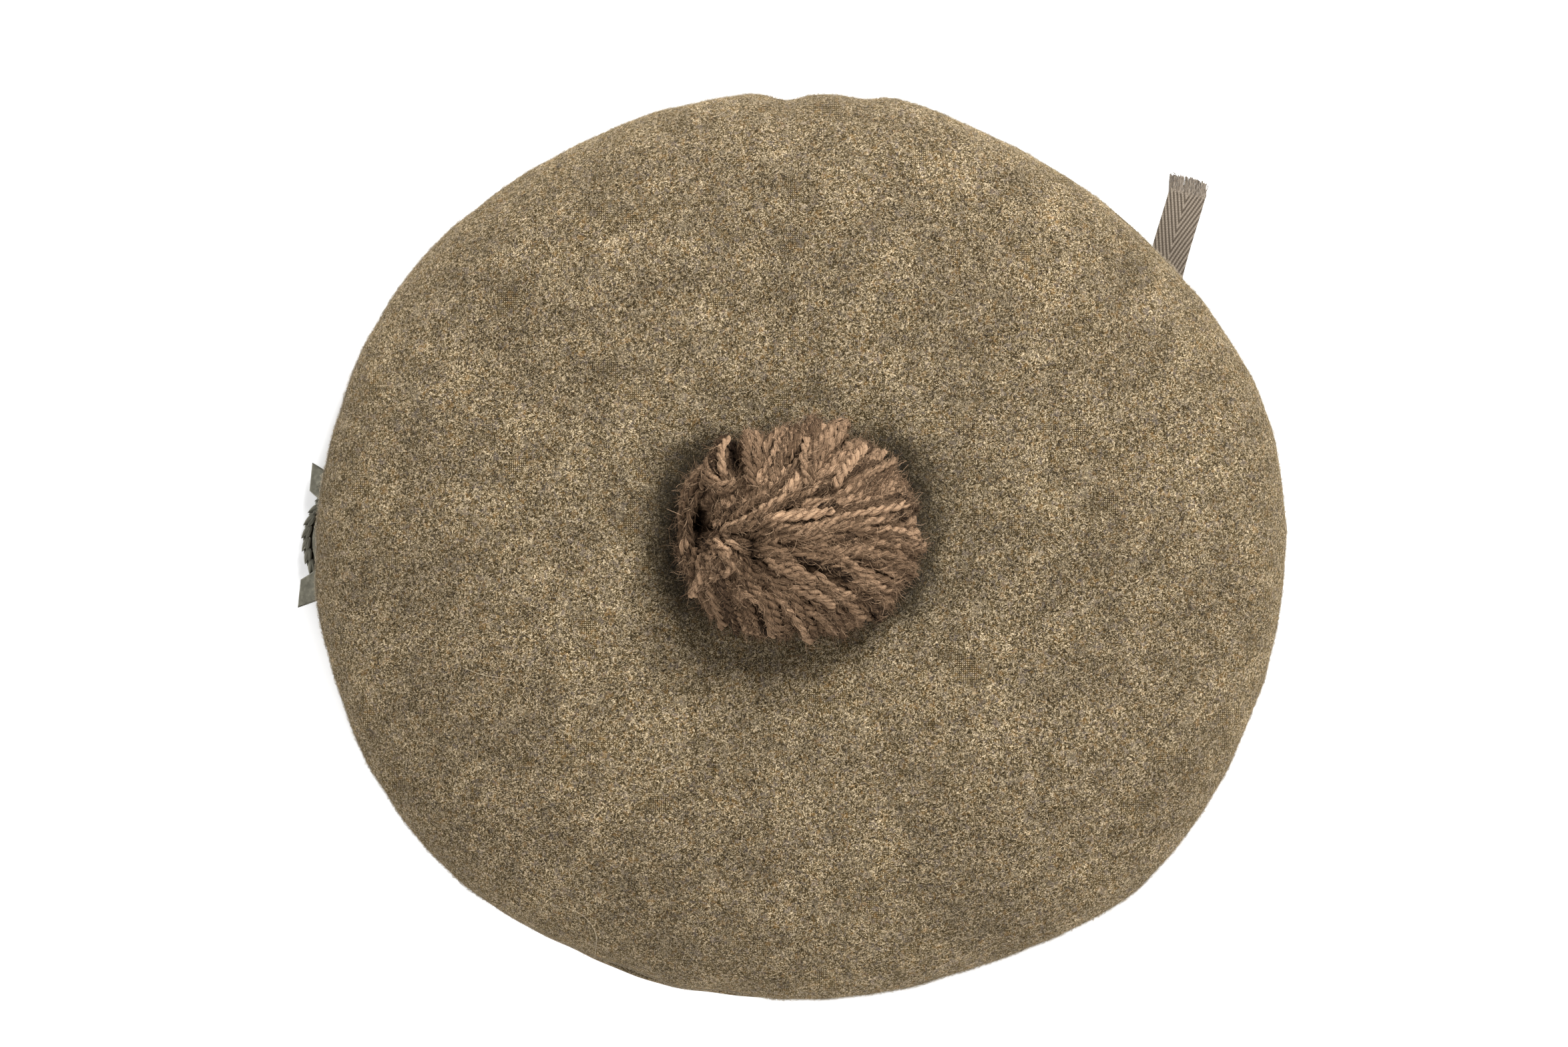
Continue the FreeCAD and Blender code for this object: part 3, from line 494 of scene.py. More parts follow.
def under_point(t, theta):
    """The under panel's outside: t runs from the rim seam (0) to the headband (1)."""
    t, theta = np.broadcast_arrays(t, theta)
    peek = bumps(theta, RIM_PEEKS)
    rim = rim_radius(theta)
    seam = rim - peek - 2.6
    lip = rim - 0.75 * np.exp(-peek * 2)
    bulge = np.sin(np.clip(t / 0.12, 0, 1) * math.pi)
    edge = seam + (lip - seam) * bulge ** 0.6 - smooth(t, 0.06, 0.12) * 1.0
    run = smooth(t, 0.06, 1.0) * 0.25 + np.clip((t - 0.06) / 0.94, 0, 1) * 0.75
    radius = np.where(t < 0.1, edge, edge * (1 - run) + (BAND_R + 0.3) * run)
    z_edge = SEAM_Z + 0.3 - 2.6 * smooth(t, 0.0, 0.09)
    z = z_edge + (BAND_TOP - 1.7 - z_edge) * run
    sag = np.sin(np.clip(run, 0, 1) * math.pi)
    z = z - 0.7 * sag + sag * 0.5 * waves(radius * np.cos(theta), radius * np.sin(theta), 30, 9)
    return around(radius, theta, z)


def make_crown():
    theta = angles(1080)
    s = [np.linspace(0.02, 0.9, 150), np.linspace(0.905, 1.0, 34), np.linspace(1.02, 1.4, 14)]
    crown_cloth("crown_top_cloth", crown_point(np.concatenate(s)[:, None], theta), SERGE, "crown_top_panel")
    t = np.concatenate([np.linspace(0, 0.16, 30), np.linspace(0.17, 1.0, 70)])
    crown_cloth("crown_under_cloth", under_point(t[:, None], theta), SERGE_INSIDE, "crown_under_panel")


def hairs(theta, s, length, thick, lift, curl):
    """Fine fibres that start on the crown and wander over its cloth, and the points they start at."""
    base, normal = crown_point(s, theta), crown_normal(s, theta)
    count = len(base)
    heading = unit(np.cross(normal, RNG.normal(size=(count, 3))))
    across = np.cross(normal, heading)
    t = np.linspace(0, 1, 5)[None, :, None]
    bend = RNG.normal(size=(count, 1, 1)) * curl
    length = length[:, None, None]
    path = (
        base[:, None]
        + heading[:, None] * length * t
        + across[:, None] * length * bend * np.sin(t * 2.6)
        + normal[:, None] * lift[:, None, None] * np.sin(t * math.pi * 0.8 + 0.15)
    )
    return tubes(path, thick[:, None] * np.array([0.7, 1.0, 1.0, 0.85, 0.35]), 3), base


def make_felt():
    """Loose wool fibres on the crown and a fringe of them round its rim; their tones hold a painted shadow
    round the toorie and a painted glow on the rim.
    """
    count = 60000
    nap, base = hairs(
        RNG.uniform(0, TAU, count), np.sqrt(RNG.uniform(0.05, 1.0, count)), RNG.gamma(5.0, 0.22, count),
        RNG.uniform(0.020, 0.048, count), RNG.uniform(0.02, 0.22, count), 0.55)
    # painted shadow: the fibres' tone falls to nothing inside the toorie's shadow ring
    away = np.cbrt((np.abs((base[:, :2] - TOORIE_SHADOW_AT) / TOORIE_SHADOW_HALF) ** 3).sum(axis=1))
    tone = RNG.normal(0.42, 0.34, count) * smooth(away, 0.84, 1.08)
    count = 52000
    fringe, _ = hairs(
        RNG.uniform(0, TAU, count), RNG.uniform(0.975, 1.22, count), RNG.uniform(0.4, 1.2, count),
        RNG.uniform(0.014, 0.030, count), RNG.gamma(3.0, 0.13, count), 0.7)
    # painted light: the rim's fringe fibres get a lighter tone for the glow along the rim
    tone = np.clip(np.concatenate([tone, RNG.normal(0.78, 0.2, count)]), 0, 1)
    piece("crown_felt_fibres", merge([nap, fringe]), FELT_FIBRE, tone=np.repeat(tone, 15))


def crown_height(x, y):
    """Height of the crown's outside over a plan point."""
    dx, dy = x - TOORIE[0], y - TOORIE[1]
    away, way = np.hypot(dx, dy), np.arctan2(dy, dx)
    s, theta = away / 140.0, way
    for _ in range(12):
        at = crown_point(s, theta)
        dx, dy = at[..., 0] - TOORIE[0], at[..., 1] - TOORIE[1]
        s = s * away / np.maximum(np.hypot(dx, dy), 1e-6)
        theta = theta + (way - np.arctan2(dy, dx) + math.pi) % TAU - math.pi
    return crown_point(np.minimum(s, 1.0), theta)[..., 2]


# Long pale hairs that lie on the crown: plan points
LOOSE_HAIRS = [
    [(13, 55), (17, 56.5), (22, 55)],
    [(-71, -108), (-65, -111), (-61.5, -116), (-61.5, -122), (-62.5, -125)],
    [(-100, -37), (-94, -39), (-86, -40)],
    [(6, -60), (8, -63), (11, -62), (12, -59)],
]


def make_loose_hairs():
    lines = []
    for knots in LOOSE_HAIRS:
        x, y = curve_through(knots, 28).T
        lines.append(xyz(x, y, crown_height(x, y) + 0.35))
    piece("crown_loose_hairs", tubes(np.stack(lines), 0.045, 4), FELT_FIBRE, tone=0.95)


# --- band, lining, stitches
RING = angles(720)
LINING_MID = 32.75
# The binding is a folded tape: up the inside, under the edge, up the outside, and back along its own face
BINDING_PROFILE = np.array([
    (90.72, 7.0), (90.70, 3.5), (90.75, 0.9), (91.1, 0.25), (92.0, 0.03), (93.2, 0.0), (94.6, 0.03),
    (95.3, 0.25), (95.65, 0.9), (95.68, 3.5), (95.62, 6.9), (95.3, 7.0), (95.15, 6.8), (95.15, 3.0),
    (95.1, 0.9), (94.6, 0.62), (93.2, 0.60), (91.8, 0.62), (91.35, 0.9), (91.32, 3.0), (91.30, 6.9),
    (91.0, 7.05),
])


def ring_shell(radii, heights, rows, cols, wobble, seed, slit=0.0):
    """An upright ring of soft cloth, with the tape's slits cut where their half width is given."""
    theta = angles(cols)
    z = np.linspace(*heights, rows)[:, None]
    outer, inner = (around(r + wobble * waves(theta * r, z, 26, seed), theta, z) for r in radii)
    keep = np.ones((rows - 1, cols), bool)
    mid = (z[:-1] + z[1:]) / 2
    centre = np.degrees(theta + math.pi / cols)
    for at in SLITS_AT.values():
        near = np.abs(angle_off(centre, at)) / DEG * radii[0] < slit
        keep &= ~(near & (mid > SLIT_LOW) & (mid < SLIT_HIGH))
    return shell(outer, inner, keep)


def make_band():
    band = ring_shell((BAND_R, 93.4), (31.9, 0.95), 40, 1500, 0.15, 1, SLIT_HALF)
    piece("headband_cloth", band, SERGE_INSIDE, "headband")
    band = ring_shell((92.35, 91.45), (30.9, 0.95), 24, 720, 0.10, 5)
    piece("sweatband_cloth", band, TWILL, "sweatband")
    r, z = BINDING_PROFILE.T
    soft = 0.10 * waves(RING * 93, RING * 0, 22, 12)[:, None] * smooth(z, 2.0, 7.0)
    grid = around(r, RING[:, None], z + soft)
    piece("edge_binding_tape", (grid, [sweep(grid)[:, ::-1]]), BINDING, "edge_binding")


def make_lining():
    """Cotton under both panels, nearly flat in the middle and gathered towards the rim."""
    s = np.concatenate([np.linspace(0.01, 0.9, 60), np.linspace(0.91, 0.972, 14)])[:, None]
    rim = rim_radius(RING)
    r = s * rim
    z = np.minimum(crown_point(s, RING)[..., 2] - 2.7, 35.2) - 0.9 * (1 - smooth(r, 45, 90)) - 0.4
    z = np.where(r < 62, np.minimum(z, LINING_MID), z)
    z = z * smooth(r, 40, 90) + LINING_MID * (1 - smooth(r, 40, 90))
    pleat = 0.22 * np.sin(40 * RING + 2 * np.sin(5 * RING)) * smooth(r, 60, 120)
    outer = around(r, RING, z + pleat)
    piece("lining_top_cloth", shell(outer, outer - 0.55 * UP), LINING, "crown_lining_top")
    t = np.linspace(0, 1, 40)[:, None]
    z = 16.9 * (1 - t) + 32.4 * t + 0.15 * np.sin(48 * RING) * np.sin(t * math.pi)
    lower = around((rim - 7.5) * (1 - t) + (BAND_R + 1.6) * t, RING, z)
    cotton = shell((lower + 0.5 * UP)[::-1], lower[::-1])
    piece("lining_under_cloth", cotton, LINING, "crown_lining_under")


def cord_ring(name, rx, ry, z, turns, thick, replaces):
    """A two-ply cord that closes on itself round the bonnet."""
    theta = angles(2600)
    parts = []
    for ply in (0, math.pi):
        angle = theta * turns + ply
        radius = ellipse_radius(theta, rx, ry)
        line = around(radius + thick * np.cos(angle), theta, z + thick * np.sin(angle))
        along = unit(np.roll(line, -1, axis=0) - np.roll(line, 1, axis=0))
        side = unit(np.cross(along, UP))
        up = np.cross(side, along)
        ring = line[:, None] + thick * turned(side[:, None], up[:, None], angles(5))
        parts.append((ring.reshape(-1, 3), [sweep(ring)]))
    piece(name, merge(parts), THREAD, replaces, 0.5)


STITCH_THICK, STITCH_TAPER = 0.14, np.array([0.6, 1, 1, 1, 1, 1, 0.6])


def stitch(centre, along, out, length, thick):
    """Bowed lines of single stitches: centres, directions and the way that they stand out."""
    t = np.linspace(-1, 1, 7)[None, :, None]
    return centre[:, None] + along[:, None] * t * length / 2 + out[:, None] * (1 - t**4) * thick


def stitch_row(name, centre, along, out, length, tone, replaces):
    lines = stitch(centre, unit(along), out, length, STITCH_THICK)
    thread = tubes(lines, STITCH_TAPER * STITCH_THICK, 6)
    piece(name, thread, THREAD, replaces, tone)


def stitch_ring(name, radius, z, length, slant, outward, replaces, count=84):
    theta = (np.arange(count) + 0.5) * TAU / count
    along, out = around(1.0, theta + math.pi / 2, slant), around(1.0, theta, 0.0) * outward
    tone = np.repeat(RNG.uniform(0.45, 0.8, count), 42)
    stitch_row(name, around(radius, theta, z), along, out, length, tone, replaces)


def make_threads():
    cord_ring("rim_seam_cord", 141.9, 132.5, 15.75, 400, 0.16, "rim_seam_thread")
    cord_ring("band_seam_cord", BAND_R + 0.2, BAND_R + 0.2, BAND_TOP + 0.55, 300, 0.15, "band_seam_thread")
    stitch_ring("sweatband_stitching", 91.28, 28.75, 3.6, 0.10, -1, "sweatband_stitches")
    stitch_ring("binding_stitching", 95.86, 5.6, 3.4, 0.12, 1, "binding_stitches")
    centre = xyz(95.25, 0.0, 9.0 + np.arange(8) * 2.5)
    along, out = np.tile([0, 0.12, 1.0], (8, 1)), np.tile([1.0, 0, 0], (8, 1))
    stitch_row("back_seam_stitching", centre, along, out, 1.9, 0.6, "back_seam_stitches")
    # buttonhole stitches: (across, height) of both ends, along the sides and then over the ends
    lines = [[(e * 0.80, z), (e * 2.1, z + 0.08)] for e in (-1, 1) for z in np.arange(8.6, 20.6, 0.62)]
    for x in np.arange(-1.6, 1.61, 0.55):
        lines += [[(x * 0.6, z), (x, z + beyond)] for z, beyond in ((8.35, -0.75), (20.75, 1.15))]
    start, end = np.array(lines)[:, 0, None], np.array(lines)[:, 1, None]
    t = np.linspace(0, 1, 6)
    spots = start * (1 - t[:, None]) + end * t[:, None]
    for side, at in SLITS_AT.items():
        angle = math.radians(at) + spots[..., 0] / BAND_R
        path = around(95.25 + 0.16 * np.sin(t * math.pi), angle, spots[..., 1])
        tone = np.repeat(RNG.uniform(0.4, 0.8, len(path)), 30)
        name = f"slit_stitching_{side}"
        piece(f"{name}_thread", tubes(path, 0.15), THREAD, name, tone)
    theta, z = np.radians(np.linspace(17.2, 30.8, 60)), np.linspace(23, 11, 40)[:, None]
    lift = 0.05 * waves(theta * 91, z, 9, 31)
    label = open_sheet(around(91.36 + lift, theta, z), around(91.10 + lift, theta, z))
    piece("size_label_cloth", label, LABEL, "size_label")


# --- drawtape
# Centre lines of the tails: (x, y, height, degrees turned from upright to flat)
LEFT_TAIL = [
    (96.7, 13.6, 14.5, 0), (99.4, 18.4, 12.0, 30), (101.2, 27.0, 8.6, 65),
    (102.8, 40.0, 6.2, 88), (108.7, 78.0, 3.4, 90), (116.5, 105.9, 1.5, 90),
]
RIGHT_TAIL = [
    (96.7, -13.6, 14.5, 0), (99.4, -18.4, 11.6, 30), (101.6, -27.0, 6.8, 65),
    (103.4, -40.0, 3.2, 88), (101.5, -66.0, 0.95, 90), (94.0, -89.0, 0.95, 90),
]
TAPE_WIDTH = 11.2
RIB_PITCH, RIB_LEAN, BEAD_PITCH = 1.0, 27.5, 0.50
# A thread loop at the corner of the frayed end: across, along and up from the corner
LOOP = [
    (0.15, -1.4, 0.1), (-0.25, 0.0, 0.3), (-0.65, 1.6, 0.5),
    (-1.0, 3.6, 0.6), (-0.5, 4.6, 0.5), (0.6, 4.3, 0.3),
]


def tape_face(line, twist, side, across, along):
    """A tape's middle layer and its normals: across from -1 to 1, along from 0 to 1."""
    run = np.gradient(line, axis=0)
    level = np.cross(unit(run * [1, 1, 0]), UP)
    wide = UP * np.cos(twist)[:, None] + level * (np.sin(twist) * side)[:, None]
    thin = unit(np.cross(unit(run), wide)) * side
    at = along * (len(line) - 1)
    i = np.minimum(at.astype(int), len(line) - 2)
    f = (at - i)[..., None]
    centre, w, n = (way[i] * (1 - f) + way[i + 1] * f for way in (line, wide, thin))
    return centre + unit(w) * (across * TAPE_WIDTH / 2)[..., None], unit(n)


def herringbone(across, length_along):
    """Rib height and bead height, 0 to 1, of a herringbone whose V points back along the middle."""
    x = np.abs(across) * TAPE_WIDTH / 2
    lean = math.radians(RIB_LEAN)
    phase = (length_along * math.sin(lean) - x * math.cos(lean)) / RIB_PITCH
    along_rib = (length_along * math.cos(lean) + x * math.sin(lean)) / BEAD_PITCH
    rib = (0.5 + 0.5 * np.cos(phase * TAU)) ** 0.8
    bead = 0.5 + 0.5 * np.cos((along_rib + 0.5 * np.floor(phase + 0.5)) * TAU)
    return rib, bead


def make_tail(node, rows, side, body):
    """A tail of the tape with its ribs in relief, which bends at its slit and frays at its end."""
    rows = np.array(rows, float)
    line = curve_through(rows[:, :3], 400)
    line[:, 2] = np.maximum(line[:, 2], 0.85)
    twist = np.radians(np.clip(curve_through(rows[:, 3:], 400)[:, 0], 0, 90))
    total = np.linalg.norm(np.diff(line, axis=0), axis=1).sum()
    rows_n, cols_n = ((900, 100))
    across, along = np.meshgrid(np.linspace(-1, 1, cols_n), np.linspace(0, 1, rows_n))
    rib, bead = herringbone(across, along * total)
    edge = 1 - smooth(np.abs(across), 0.93, 1.0)
    middle, normal = tape_face(line, twist, side, across, along)
    half = normal * (0.10 + 0.15 * rib * edge + 0.06 * bead * rib * edge + 0.03 * edge)[..., None]
    # painted shade: the tone follows the rib height, so the grooves between ribs and beads are painted darker
    tone = np.tile(np.clip(0.16 + 0.52 * rib + 0.26 * bead * rib, 0, 1).ravel(), 2)
    cloth = piece(f"{node}_cloth", open_sheet(middle + half, middle - half), TAPE, node, tone, None)
    threads, tone = fringe_threads(line, side)
    made = piece(f"{node}_cloth_fringe", threads, TAPE, None, tone, body)
    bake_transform(cloth)


def fringe_threads(line, side, count=150):
    """Frayed warp threads past the last weft, uneven and a little wavy, and their tones."""
    end = line[-1]
    ahead = unit(line[-1] - line[-8])
    wide = unit(np.cross(ahead, UP)) * side
    across = (np.linspace(-0.985, 0.985, count) + RNG.normal(0, 0.008, count))[:, None]
    length = 5.1 + 0.30 * np.sin(across * 3.0 + 1.0) + RNG.normal(0, 0.24, (count, 1))
    t = np.linspace(0, 1, 12)
    clump = 0.22 * np.sin(across * 21.0) + 0.14 * np.sin(across * 47.0 + 1.0)
    sway = (RNG.normal(0, 0.14, (count, 1)) - 0.85 + clump) * t**1.4
    sway = sway + 0.11 * np.sin(t * 11 + RNG.uniform(0, 2.5, (count, 1)) + across * 9)
    rise = RNG.uniform(-0.10, 0.55, (count, 1)) * t + 0.12 * np.sin(t * 13 + RNG.uniform(0, 6, (count, 1)))
    out = across * TAPE_WIDTH / 2 + sway * side
    path = end + wide * out[..., None] + ahead * (length * t - 1.0)[..., None] + UP * rise[..., None]
    path[..., 2] = np.maximum(path[..., 2], 0.45)
    corner = end - wide * side * TAPE_WIDTH / 2
    lines = []
    for shift in (0.0, 0.22):
        knots = [corner + wide * side * (a + shift) + ahead * (b - shift) + UP * c for a, b, c in LOOP]
        lines.append(curve_through(knots, 26))
    tone = np.concatenate([np.repeat(RNG.uniform(0.30, 0.95, count), 60), np.full(2 * 26 * 5, 0.45)])
    return merge([tubes(path, 0.15), tubes(np.array(lines), 0.085)]), tone


def make_size_tape():
    """The drawtape inside its channel, turned out through both slits."""
    angle = [[8.0, 8.0, 8.05, 8.4], np.linspace(9.2, 350.8, 700), [351.6, 351.95, 352.0, 352.0]]
    radius = [[96.4, 94.6, 93.4, 92.95], np.full(700, 92.9), [92.95, 93.4, 94.6, 96.4]]
    line = around(np.concatenate(radius), np.radians(np.concatenate(angle)), 14.5)
    side = unit(np.cross(np.gradient(line, axis=0), UP)) * 0.24
    rows = np.linspace(-5.5, 5.5, 12)[:, None, None] * UP
    tape = open_sheet(line + side + rows, line - side + rows)
    piece("size_tape_cloth", tape, TAPE, "size_tape", 0.5)


# --- toorie
# Half sizes of the pom, its middle, the whorl on top (in half sizes)
HALF = np.array([34.2, 31.2, 16.0])
POM_AT = np.array([*TOORIE, 54.4])
WHORL = np.array([-0.80, 0.00])
# Hollows between its strands: x, y, half width, half length, depth
HOLLOWS = [(-30.4, 5.5, 2.9, 9.5, 11.0), (-19.8, 24.5, 3.0, 5.0, 7.0), (-14.4, -2.0, 1.8, 4.2, 3.5)]

# Rows of thatch: strands, first and last angle, where they start and stop (0 whorl, 1 edge), rise
THATCH = [
    (112, -180, 180, 0.80, 1.18, -1.2),
    (112, -176, 176, 0.68, 1.08, -0.6),
    (96, -168, 162, 0.54, 0.96, -0.2),
    (76, -162, 152, 0.40, 0.84, 0.2),
    (56, -156, 145, 0.26, 0.70, 0.6),
    (40, -152, 142, 0.12, 0.54, 0.9),
    (24, -150, 140, 0.02, 0.38, 1.0),
]


def pom_point(u, v, lift):
    """A point of the pom from plan coordinates (-1 to 1) on its upper side, lift in mm."""
    rho = np.hypot(u, v)
    over = np.clip(rho, 0, 0.999)
    drop = np.maximum(rho - 1, 0)
    scale = np.where(rho > 1, 1 / np.maximum(rho, 1e-6), 1.0) * (1 - drop * 0.1)
    x = (HALF[0] + lift * over) * u * scale
    y = (HALF[1] + lift * over) * v * scale
    z = (HALF[2] + lift) * np.sqrt(1 - over**2.3) - drop * 18
    return xyz(x, y, z) + POM_AT


def above_crown(lines):
    """Lifts the underside's strands, so that the toorie clears the crown as it rocks."""
    out = np.hypot(lines[..., 0] - TOORIE[0], lines[..., 1] - TOORIE[1])
    lines[..., 2] = np.maximum(lines[..., 2], 42.3 + 0.33 * np.maximum(out - 20, 0))


def two_ply(lines, thick):
    """Two twisted plies along every line, splaying a little at its end."""
    along = unit(np.gradient(lines, axis=1))
    first = unit(np.cross(along, np.array([0.12, 0.08, 1.0])))
    second = np.cross(first, along)
    step = np.linalg.norm(np.diff(lines, axis=1), axis=2)
    run = np.concatenate([np.zeros((len(lines), 1)), np.cumsum(step, axis=1)], axis=1)
    pitch = POM_RNG.uniform(4.8, 7.6, (len(lines), 1))
    phase = run * TAU / pitch + POM_RNG.uniform(0, TAU, (len(lines), 1))
    splay = 0.52 + 0.35 * smooth(np.linspace(0, 1, lines.shape[1]), 0.86, 1.0)
    off = (thick * splay)[..., None]
    return np.concatenate([lines + turned(first, second, phase + ply) * off for ply in (0, math.pi)])


def filaments(plies, thick, each):
    """Fibres that wander over the face of every ply."""
    first, second = crosswise(plies)
    own, one = np.linspace(0, 1, plies.shape[1]), (len(plies), 1)
    made = []
    for _ in range(each):
        angle = POM_RNG.uniform(0, TAU, one) + POM_RNG.normal(0, 2.2, one) * own
        off = thick * (1.0 + 0.22 * np.sin(own * POM_RNG.uniform(5, 16, one) + angle))
        made.append(plies + turned(first, second, angle) * off[..., None])
    return np.concatenate(made)


def thatch_lines(count, low, high, start, end, rise, steps):
    """Strands combed outwards from the whorl in small tufts that close towards their tips."""
    rng = POM_RNG
    tufts = count // 4
    tuft = np.arange(count) * tufts // count

    def tufted(spread, *shape):
        """Random values of every tuft, given to each of its strands."""
        return rng.normal(0, spread, (tufts, *shape))[tuft]

    own_phi = np.linspace(low, high, count)
    own_phi = own_phi - 24.0 * np.sin(np.radians(own_phi)) + rng.normal(0, 1.5, count)
    tuft_phi = np.array([own_phi[tuft == i].mean() for i in range(tufts)])[tuft] + tufted(1.5)
    own = np.linspace(0, 1, steps)
    begin = start + tufted(0.03) + rng.normal(0, 0.02, count)
    finish = end + tufted(0.045) + rng.normal(0, 0.022, count)
    t = (begin[:, None] + (finish - begin)[:, None] * own)[..., None]
    bend = tufted(0.045, 2)

    def plan(phi):
        target = np.stack([np.cos(np.radians(phi)), np.sin(np.radians(phi))], axis=-1)
        middle = WHORL + (target - WHORL) * np.array([0.62, 0.26]) + bend
        middle[:, 1] += 0.11 * np.exp(-((target[:, 1] / 0.45) ** 2))
        return WHORL * (1 - t) ** 2 + 2 * middle[:, None] * t * (1 - t) + target[:, None] * t**2

    gather = (0.70 * smooth(own, 0.25, 1.0))[:, None]
    flat = plan(own_phi) * (1 - gather) + plan(tuft_phi) * gather
    wave = rng.uniform(0, 6, (tufts, 1))[tuft] + own * 5
    flat[..., 1] += tufted(0.034, 1) * np.sin(wave)
    flat[..., 0] += tufted(0.024, 1) * np.cos(wave)
    sway = rng.normal(0, 0.017, (count, 1, 2))
    flat = flat + sway * np.sin(own * 7 + rng.uniform(0, 6, (count, 1)))[..., None]
    body = rise + tufted(1.0, 1) + rng.normal(0, 0.7, (count, 1))
    lift = -5.5 + (5.5 + body) * smooth(own, 0.0, 0.42)
    lift = lift + rng.normal(-0.5, 1.0, (count, 1)) * smooth(own, 0.72, 1.0)
    return pom_point(flat[..., 0], flat[..., 1], lift)


def side_lines(count, steps):
    """Strands that stand out from the pom's middle round its sides and underside."""
    rng = POM_RNG
    phi = rng.uniform(0, TAU, count)
    sine = rng.uniform(-0.88, 0.25, count)
    way = around(np.sqrt(1 - sine**2), phi, sine) * (HALF * rng.uniform(0.90, 1.03, (count, 1)))
    bend = rng.normal(0, 3.2, (count, 3)) * [1, 1, 0.5]
    t = np.linspace(0.28, 1.0, steps)[None, :, None]
    path = way[:, None] * t**0.9 + bend[:, None] * np.sin(t * math.pi)
    path[..., 2] -= 2.5 * t[..., 0] ** 2
    path[..., :2] *= np.maximum(1, 5.2 / np.hypot(path[..., 0], path[..., 1]))[..., None]
    return path + POM_AT


# Strands placed one by one: down the left edge, the curl at the upper left, and the parting on top
PLACED_STRANDS = [
    [(-28.8, 19, 62), (-32.6, 15.5, 61), (-34.6, 10, 59), (-34.4, 4, 57), (-33.2, -2, 54)],
    [(-30.5, 21, 59), (-34, 16.5, 57), (-35.4, 9, 55), (-35.3, 2, 53), (-34.2, -5, 50)],
    [(-27, 22, 64), (-30.5, 20, 62), (-33.6, 14.5, 58), (-34.9, 8, 53)],
    [(-28.0, 17.5, 64), (-31.2, 13.5, 63), (-33.0, 8, 61.5), (-32.9, 2.5, 59.5), (-32.0, -3, 57)],
    [(-33.2, 5, 58), (-33.8, 0, 57), (-33.2, -6, 54), (-31.2, -12, 51)],
    [(-31.4, -1, 61), (-31.8, -7, 59), (-30.6, -13, 56), (-28.2, -19, 52)],
    [(-29.6, -3, 63), (-30.0, -9, 61), (-28.4, -16, 58), (-25.8, -21.5, 53)],
    [(-26.6, -4, 65.5), (-27.2, -11, 64), (-25.4, -17.5, 61), (-22.8, -24.5, 54)],
    [(-23.4, -5, 67.5), (-23.8, -11, 66.5), (-21.6, -18.5, 63.5), (-18.6, -26.0, 56)],
    [(-24.5, 29.5, 60), (-27.0, 25.5, 63), (-28.8, 20.5, 64.5), (-28.6, 16.5, 64)],
    [(-21.2, 31.5, 60), (-23.4, 29.0, 65), (-23.8, 24.8, 68.5), (-22.8, 20.4, 69)],
    [(-22.6, 32.0, 58), (-25.2, 28.5, 63.5), (-25.6, 24.2, 66.5), (-24.6, 20.0, 66.5)],
    [(-28.6, 21.5, 65.5), (-27.6, 18.4, 68.5), (-25.2, 16.4, 70.0), (-22.2, 15.8, 70.5), (-19.6, 17.4, 69.5)],
    [(-27.4, 22.5, 65.0), (-26.2, 19.6, 67.5), (-24.2, 17.9, 68.8), (-21.8, 17.5, 69.0), (-20.2, 18.8, 68)],
    [(-16.6, 31.5, 61), (-16.4, 27, 67), (-15.6, 22, 70), (-14.6, 17.0, 71.4)],
    [(1.8, 31.5, 65), (0.8, 27.5, 69.5), (0.8, 23, 71.8), (2.4, 18.0, 72.3)],
    [(9.2, 31.5, 63), (5.8, 28.5, 68.5), (3.6, 24.5, 71.6), (2.6, 19.4, 72.2)],
    [(19, 28.5, 62), (15.5, 25.5, 67.5), (12.5, 21.5, 71), (9.5, 17.2, 72.0)],
    [(22.5, 24.5, 63), (17.0, 22.5, 68), (11.0, 19.0, 71.5), (5.0, 15.5, 72.2)],
]


def sink(lines):
    """Pushes strands down into the hollows, and says how lit each of their points stays."""
    shade = np.ones(lines.shape[:2])
    for x, y, wide, long, depth in HOLLOWS:
        near = np.exp(-(((lines[..., 0] - x) / wide) ** 2) - ((lines[..., 1] - y) / long) ** 2)
        lines[..., 2] -= depth * near
        shade *= 1 - 0.95 * near
    return shade


def make_toorie():
    steps, sides, each = ((36, 320, 4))
    combed = np.concatenate([thatch_lines(*row, steps) for row in THATCH] + [side_lines(sides, steps)])
    shade = np.concatenate([sink(combed), np.ones((len(PLACED_STRANDS), steps))])
    above_crown(combed)
    lines = np.concatenate([combed, [curve_through(knots, steps) for knots in PLACED_STRANDS]])
    count = len(lines)
    thick = POM_RNG.uniform(1.0, 1.42, (count, 1))
    shape = np.concatenate([np.linspace(0.7, 1.0, 4), np.ones(steps - 8), [1.0, 0.97, 0.9, 0.7]])
    thick = thick * shape * (1 + 0.09 * POM_RNG.normal(size=(count, steps)))
    plies, ply_thick = two_ply(lines, thick), np.tile(thick, (2, 1)) * 0.60
    # painted light: strands that end towards the upper side (+Y) are a tone lighter, as if lit from that side
    tone = POM_RNG.normal(0.52, 0.20, count) + 0.10 * smooth(lines[:, -1, 1], 0, 30)
    tone = np.clip(np.tile(tone, 2), 0.08, 0.98)
    loose = filaments(plies, ply_thick, each)
    loose_tone = np.clip(np.tile(tone, each) + POM_RNG.normal(0.04, 0.16, len(tone) * each), 0.05, 1)
    thin = POM_RNG.uniform(0.12, 0.22, (len(loose), 1))
    solid = merge([tubes(plies, ply_thick, 6), tubes(loose, thin, 3)])
    tone = np.concatenate([
        np.repeat((tone[:, None] * np.tile(shade, (2, 1))).ravel(), 6),
        np.repeat((loose_tone[:, None] * np.tile(shade, (2 * each, 1))).ravel(), 3),
    ])
    piece("toorie_strands", solid, YARN, "toorie_yarn", tone, "toorie")
    make_pom_core()
    make_pom_fuzz(lines, shade)


